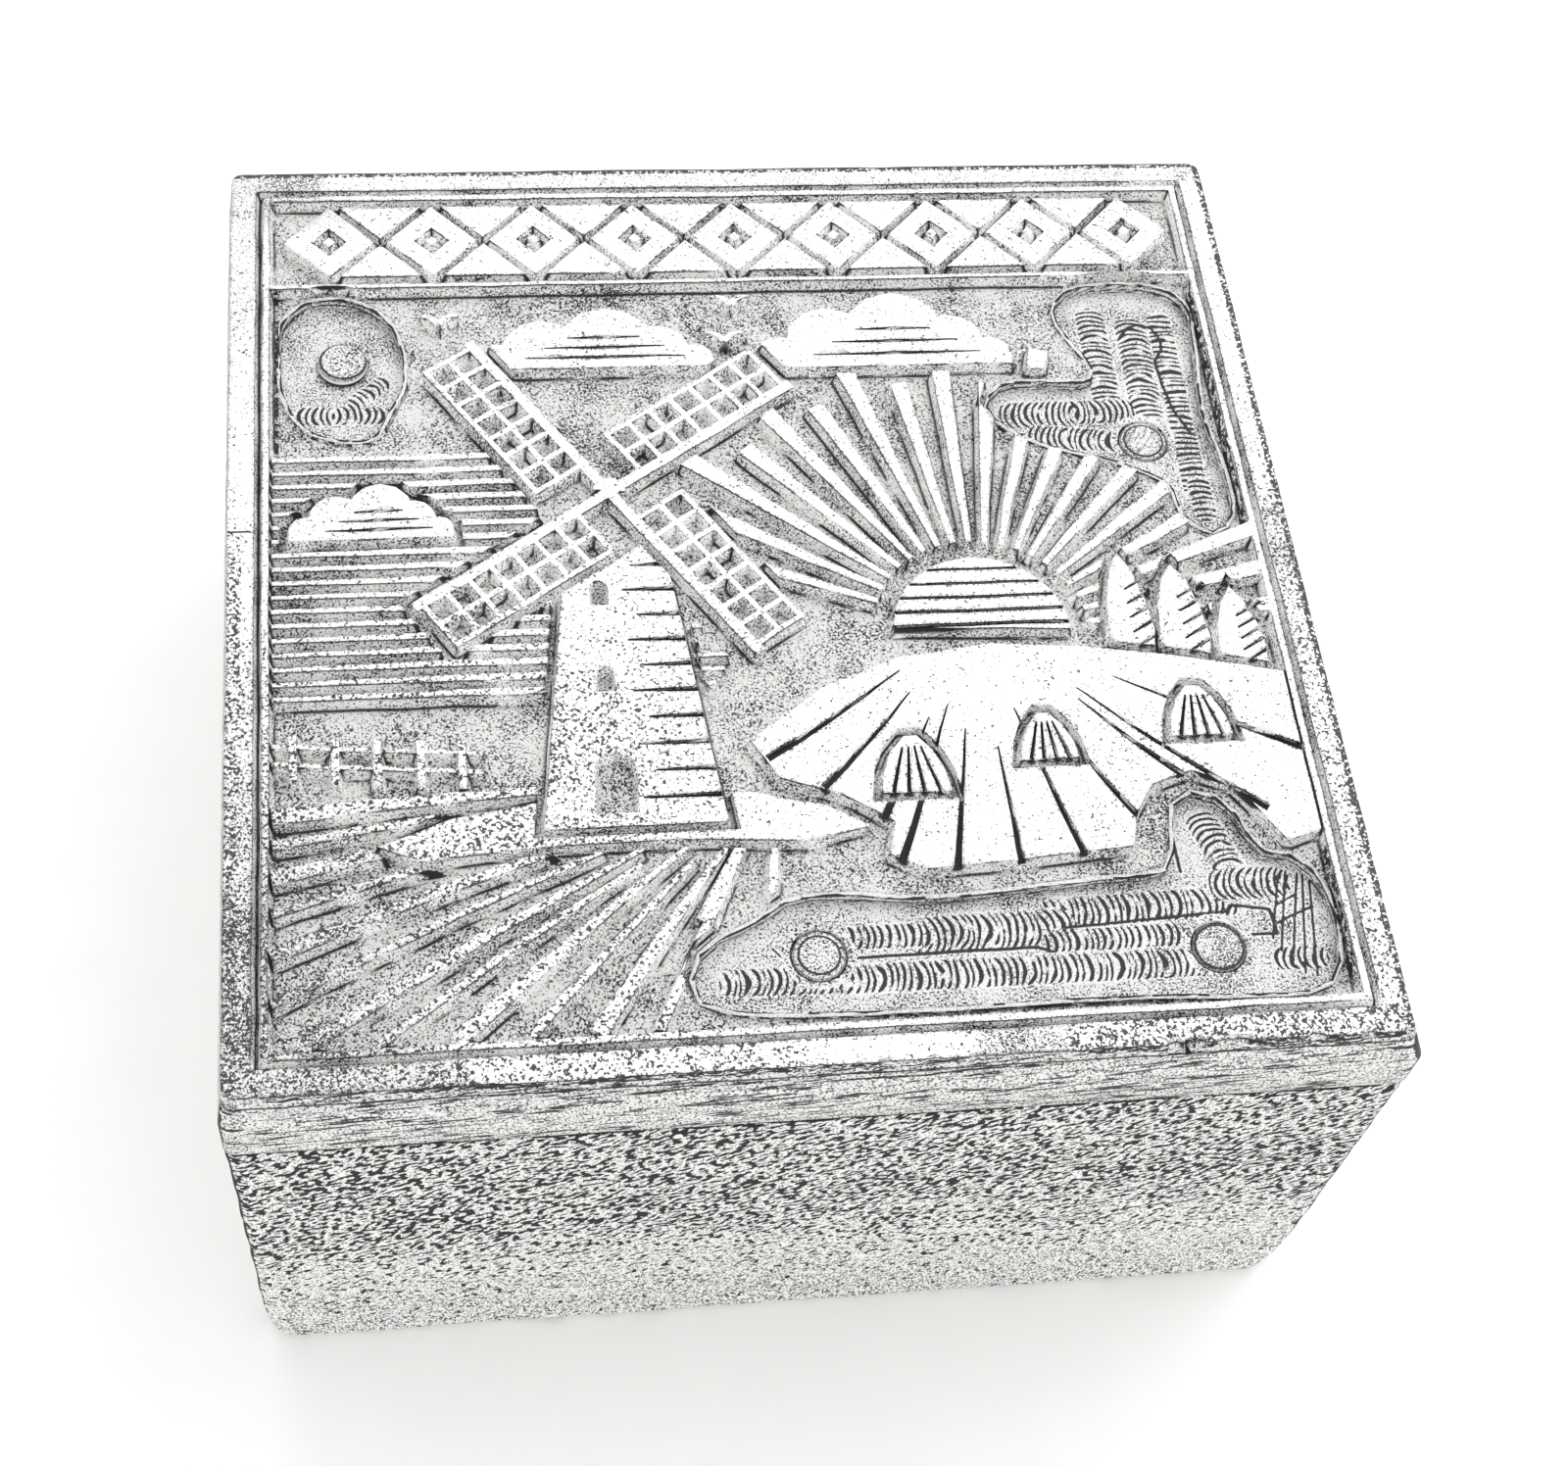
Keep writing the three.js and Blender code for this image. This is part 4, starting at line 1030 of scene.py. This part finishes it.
# %% Finish of the backing plate
CORNER_SHADE_GREY = grey(0.02)
INSIDE_SLOPE = (0.45, 0.7)
MARKED_AND_HIGHLIGHTED = (0.04, 0.14, 1.0, 0.8)  # pebbles crowd less where a tool has marked the floor, which is also painted lighter there as a highlight
BITE_FRAY = 0.9
BITE_STEP = (0.58, 0.66)
BACKING_CREASE = {"radius_mm": 0.16, "full": 0.07, "fray": 0.8}
FLOOR_CALM = 0.75
LINE_STEP = (0.4, 0.6)
BACKING_BUMP_MM = 0.03


def backing_finish():
    finish, tree, shader = new_finish("routed_type_metal", metallic=0.1, roughness=0.6)
    where = place_on(tree)
    inside = rise(tree, slope_of(tree), *INSIDE_SLOPE)
    mark = value_on_points(tree, "tool_mark")

    floor_colour, fine = stippled(tree, where, rise(tree, mark, *MARKED_AND_HIGHLIGHTED))
    bite = plus(tree, mark, swing(tree, fine, BITE_FRAY))
    floor_colour = blend_colour(tree, rise(tree, bite, *BITE_STEP), floor_colour, INK_AND_SHADE_BLACK)
    side_colour, streaks = shaved_side(tree, where)
    # painted shade down the upright corners of the plate
    side_colour = blend_colour(tree, corner_shade_line(tree), side_colour, CORNER_SHADE_GREY)
    colour = blend_colour(tree, inside, side_colour, floor_colour)

    # a ragged black line along the corners, of old ink and painted shade
    line = frayed_crease(tree, fine, **BACKING_CREASE)
    line = times(tree, line, one_minus(tree, times(tree, inside, FLOOR_CALM)))
    colour = blend_colour(tree, rise(tree, line, *LINE_STEP), colour, INK_AND_SHADE_BLACK)
    dress(tree, shader, colour, plus(tree, times(tree, fine, inside), streaks), BACKING_BUMP_MM)
    return finish


wear(backing, backing_finish())

# %% [markdown]
# ## The nails
# A block nail has a small flat head that lies in its countersink just under the printing height.
# Its profile is half of the nail's outline, spun once round. The head was rubbed flat with a file,
# which leaves straight scratches, and a hollow punch has left a ring in it. Each point carries its
# distance from that ring, because the ring isn't always in the middle of its head.

# %% Shape of the nails
NAIL_STEPS = 48
NAIL_SMOOTH_ANGLE = 40
WELD_DISTANCE = 0.001 * MM
SHANK = 0.5 * MM
TAPER = ((0.5, 0.8 * MM), (1, 1.5 * MM))  # share of the shank, height over the point
HEAD_HEIGHT = 0.44 * MM
HEAD_EDGE = 0.10 * MM
RINGS_MM = {
    # the ring that the punch left in each head: its radius, and its place from the head's middle
    "nail_rear_left": (0.87, (0.04, 0.04)),
    "nail_rear_right": (0.76, (0, 0)),
    "nail_front_middle": (0.72, (0, 0)),
    "nail_front_right": (0.85, (0, 0)),
}


def nail_profile(name):
    """Half outline from the point up, in the nail's own place and heights."""
    low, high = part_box(name)
    head = (high[0] - low[0]) / 2
    top = high[2]
    seat = top - HEAD_HEIGHT
    return [
        (0, low[2]),
        *((SHANK * share, low[2] + height) for share, height in TAPER),
        (SHANK, seat),
        (head - HEAD_EDGE / 2, seat),
        (head, seat + HEAD_EDGE / 2),
        (head, top - HEAD_EDGE * 1.3),
        (head - HEAD_EDGE * 0.4, top - HEAD_EDGE * 0.5),
        (head * 0.75, top),
        (head * 0.5, top),
        (0, top),
    ]


def nail(name):
    bm = bmesh.new()
    centre = nail_places[name]
    verts = [bm.verts.new(centre + Vector((r, 0, z))) for r, z in nail_profile(name)]
    edges = [bm.edges.new(pair) for pair in zip(verts, verts[1:])]
    bmesh.ops.spin(
        bm, geom=verts + edges, cent=centre, axis=(0, 0, 1), angle=math.tau,
        steps=NAIL_STEPS, use_merge=True,
    )
    bmesh.ops.remove_doubles(bm, verts=bm.verts, dist=WELD_DISTANCE)
    bmesh.ops.recalc_face_normals(bm, faces=bm.faces)
    ring = bm.verts.layers.float.new("past_ring_mm")
    radius, shift = RINGS_MM[name]
    for vert in bm.verts:
        vert[ring] = ((vert.co.xy - centre.xy) / MM - Vector(shift)).length - radius
    piece = put_in_scene(name.replace("nail", "block_nail"), bm, angle=NAIL_SMOOTH_ANGLE)
    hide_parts(name)
    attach(piece, "root")
    return piece


# %% Marks of the file and the punch
FILING = {"grain_mm": 0.045, "stretch": (14, 1, 4), "turn": (0, 0, 1.0)}
FILING_STEP = (0.56, 0.64)
FILED_X = (5 * MM, 12 * MM)  # the heads on the right were filed most
FILED_SHARE = 0.8
RING_GREY = grey(0.015)
RING_FRAY = 0.12
RING_STEP = (0.04, 0.065)


def filed(tree, where, filing):
    """Scratches of the file, which show on the right of the block."""
    to_right = rise(tree, axis_of(tree, where, "X"), *FILED_X)
    return times(tree, times(tree, rise(tree, filing, *FILING_STEP), to_right), FILED_SHARE)


def punched_ring(tree, fine):
    from_ring = without_sign(tree, value_on_points(tree, "past_ring_mm"))
    return fall(tree, plus(tree, from_ring, swing(tree, fine, RING_FRAY)), *RING_STEP)


# %% Finish of the nails
NAIL_CREASE = {"radius_mm": 0.13, "full": 0.08, "fray": 0.4}
NAIL_CREASE_STEP = (0.35, 0.6)
UPRIGHT_SLOPE = (0.2, 0.5)
PROUD_FLANK_HIGHLIGHT = grey(0.9)
DRIVEN_Z = min(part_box(name)[1][2] for name in NAILS)  # the top of a nail that was driven home
PROUD_Z = (DRIVEN_Z - 0.12 * MM, DRIVEN_Z - 0.08 * MM)
SHADOWED_FOOT_Z = (POCKET_Z + 0.12 * MM, POCKET_Z + 0.16 * MM)
NAIL_BUMP_MM = 0.012


def nail_finish():
    finish, tree, shader = new_finish("filed_nail_steel", metallic=0.1, roughness=0.5)
    where = place_on(tree)
    colour, fine = stippled(tree, where)
    filing = speckle(tree, where, **FILING)
    colour = blend_colour(tree, filed(tree, where, filing), colour, FLECK_GREY)
    colour = blend_colour(tree, punched_ring(tree, fine), colour, RING_GREY)
    # a ragged black line round the head's edges, of old ink and painted shade
    rim = rise(tree, frayed_crease(tree, fine, **NAIL_CREASE), *NAIL_CREASE_STEP)
    colour = blend_colour(tree, rim, colour, INK_AND_SHADE_BLACK)

    z = axis_of(tree, where, "Z")
    upright = fall(tree, slope_of(tree), *UPRIGHT_SLOPE)
    # painted highlight: the upright flank of a nail that stands proud is painted near white
    colour = blend_colour(tree, times(tree, upright, rise(tree, z, *PROUD_Z)), colour, PROUD_FLANK_HIGHLIGHT)
    # painted shadow: the foot of each nail's upright side, next to the pocket floor, is painted black
    colour = blend_colour(tree, times(tree, upright, fall(tree, z, *SHADOWED_FOOT_Z)), colour, INK_AND_SHADE_BLACK)
    dress(tree, shader, colour, plus(tree, filing, fine), NAIL_BUMP_MM)
    return finish


nail_steel = nail_finish()
for name in NAILS:
    wear(nail(name), nail_steel)

# %% [markdown]
# ## The wooden mount
# The mount is a short piece of hardwood with its grain along the front. A coarse saw left rough,
# broken dashes on the front and rear, the ends show the cut pores, and years of lock-up wore the
# lower edges. The copy is sliced into a fine net, each point sinks a little by noise that is drawn out
# along the grain, and the rest is left to the finish.

# %% Torn wood and chips at the joint
TEAR_MM = 0.07
TEAR_LENGTH, TEAR_WIDTH = 2.2, 0.4  # mm along the grain and across it
GRAIN_LEAN = 0.03
TEAR_CONTRAST = 0.9
TEAR_LEVEL = 0.35
CHIP_MM = 0.25
CHIP_REACH = 0.6 * MM
CHIP_SIZE = 0.9 * MM
CHIP_LEVEL = 0.1


def torn_depth(place):
    """How deep the saw tore the wood at a place, as a share of the deepest tear."""
    rising = place.z - GRAIN_LEAN * place.x
    drawn = Vector((place.x / TEAR_LENGTH, place.y / TEAR_LENGTH, rising / TEAR_WIDTH)) / MM
    return clamp(noise.noise(drawn) * TEAR_CONTRAST + TEAR_LEVEL)


def chipped(place):
    """Chips along the joint under the plate, strongest just below it."""
    near = max(1 - (JOINT_Z - place.z) / CHIP_REACH, 0.0)
    return near * max(noise.noise(Vector((place.x, place.y, 0)) / CHIP_SIZE) + CHIP_LEVEL, 0.0)


# %% Shape of the mount
WOOD_SLICE = 0.7 * MM
WOOD_SMOOTH_ANGLE = 50
HOLE_FOOT_Z = 1.3 * MM
HOLE_REACH = 1.2 * MM
OUTER_BAND = 1.3 * MM  # points farther in than this lie on a hole or the middle of a level face
UNDERSIDE_SHARE = 0.2


def is_joint(face):
    return face.calc_center_median().z > JOINT_Z - CLOSE


def in_a_hole(face):
    return any(vert.co.z > HOLE_FOOT_Z and nearest_nail(vert.co) < HOLE_REACH for vert in face.verts)


bm = copy_of("wood_mount")
parts = geometry_of([face for face in bm.faces if not is_joint(face) and not in_a_hole(face)])
for axis in (0, 1, 2):
    parts = slice_across(bm, parts, axis, WOOD_SLICE)
bm.normal_update()
shifts = {}
for vert in bm.verts:
    from_edge = Vector((abs(vert.co.x), abs(vert.co.y))) - Vector((wood_high[0], wood_high[1]))
    if max(from_edge) < -OUTER_BAND:
        continue
    depth = TEAR_MM * torn_depth(vert.co) + CHIP_MM * chipped(vert.co)
    way_out = Vector((vert.normal.x, vert.normal.y, min(vert.normal.z, 0) * UNDERSIDE_SHARE))
    shifts[vert] = way_out * -depth * MM
for vert, shift in shifts.items():
    vert.co += shift
wood = put_in_scene("wooden_mount", bm, angle=WOOD_SMOOTH_ANGLE)
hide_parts("wood_mount")
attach(wood, "root")

# %% [markdown]
# ## The finish of the mount
# The saw's dashes are coarse and black near the plate and fade towards the foot, where handling has
# worn the wood smooth and left only fine pores. One noise makes the dashes, one the pores, and the
# height, bent by a broad third noise so that no straight line shows, decides how much there is of
# each. A dark line in the joint is old glue and ink, and painted shadow under the plate.

# %% Finish of the mount
PORES = {"grain_mm": 0.085, "stretch": (1, 1, 1.7), "roughness": 0.7}
PORE_STEP = (0.42, 0.50)
PORE_GREYS = (grey(0.34), grey(0.05))  # where the wood is torn, and where it is worn smooth
WOOD_GREY = grey(0.92)
DASHES = {"grain_mm": 0.155, "detail": 0.5, "stretch": (2.0, 1.5, 1), "turn": (0, -0.60, 0)}
DASH_STEP = (0.56, 0.57)
WOOD_CLOUDS = {"grain_mm": 3.0, "stretch": (3, 3, 1)}
CLOUD_HEIGHT = 3 * MM
SMOOTH_Z = (2.5 * MM, 9.0 * MM)
FADING_Z = (2 * MM, 14 * MM)
DASH_CLOUD_SHARE = 0.08
DASH_FADING = -0.16
JOINT_CHIPS = {"grain_mm": 0.8, "detail": 3}
JOINT_CHIP_HEIGHT = 0.6 * MM
JOINT_LINE_Z = (JOINT_Z + 0.12 * MM, JOINT_Z + 0.15 * MM)
WOOD_BUMP_MM = 0.04


def wood_finish():
    finish, tree, shader = new_finish("rough_sawn_hardwood", roughness=0.85)
    where = place_on(tree)
    z = axis_of(tree, where, "Z")
    broad = speckle(tree, where, **WOOD_CLOUDS)
    bent_z = plus(tree, z, times(tree, broad, CLOUD_HEIGHT))

    pores = speckle(tree, where, **PORES)
    pore_colour = blend_colour(tree, fall(tree, bent_z, *SMOOTH_Z), *PORE_GREYS)
    colour = blend_colour(tree, rise(tree, pores, *PORE_STEP), pore_colour, WOOD_GREY)
    dashes = speckle(tree, where, **DASHES)
    torn = plus(tree, dashes, times(tree, broad, DASH_CLOUD_SHARE))
    torn = plus(tree, torn, times(tree, fall(tree, bent_z, *FADING_Z), DASH_FADING))
    colour = blend_colour(tree, rise(tree, torn, *DASH_STEP), colour, INK_AND_SHADE_BLACK)

    # the joint line: old glue and ink in the joint, and painted shadow under the plate's edge
    chips = times(tree, speckle(tree, where, **JOINT_CHIPS), JOINT_CHIP_HEIGHT)
    joint = rise(tree, plus(tree, z, chips), *JOINT_LINE_Z)
    # the joint line and a line of painted shade down the upright corners are drawn black
    colour = blend_colour(tree, most(tree, joint, corner_shade_line(tree)), colour, INK_AND_SHADE_BLACK)
    dress(tree, shader, colour, plus(tree, dashes, pores), WOOD_BUMP_MM)
    return finish


wear(wood, wood_finish())
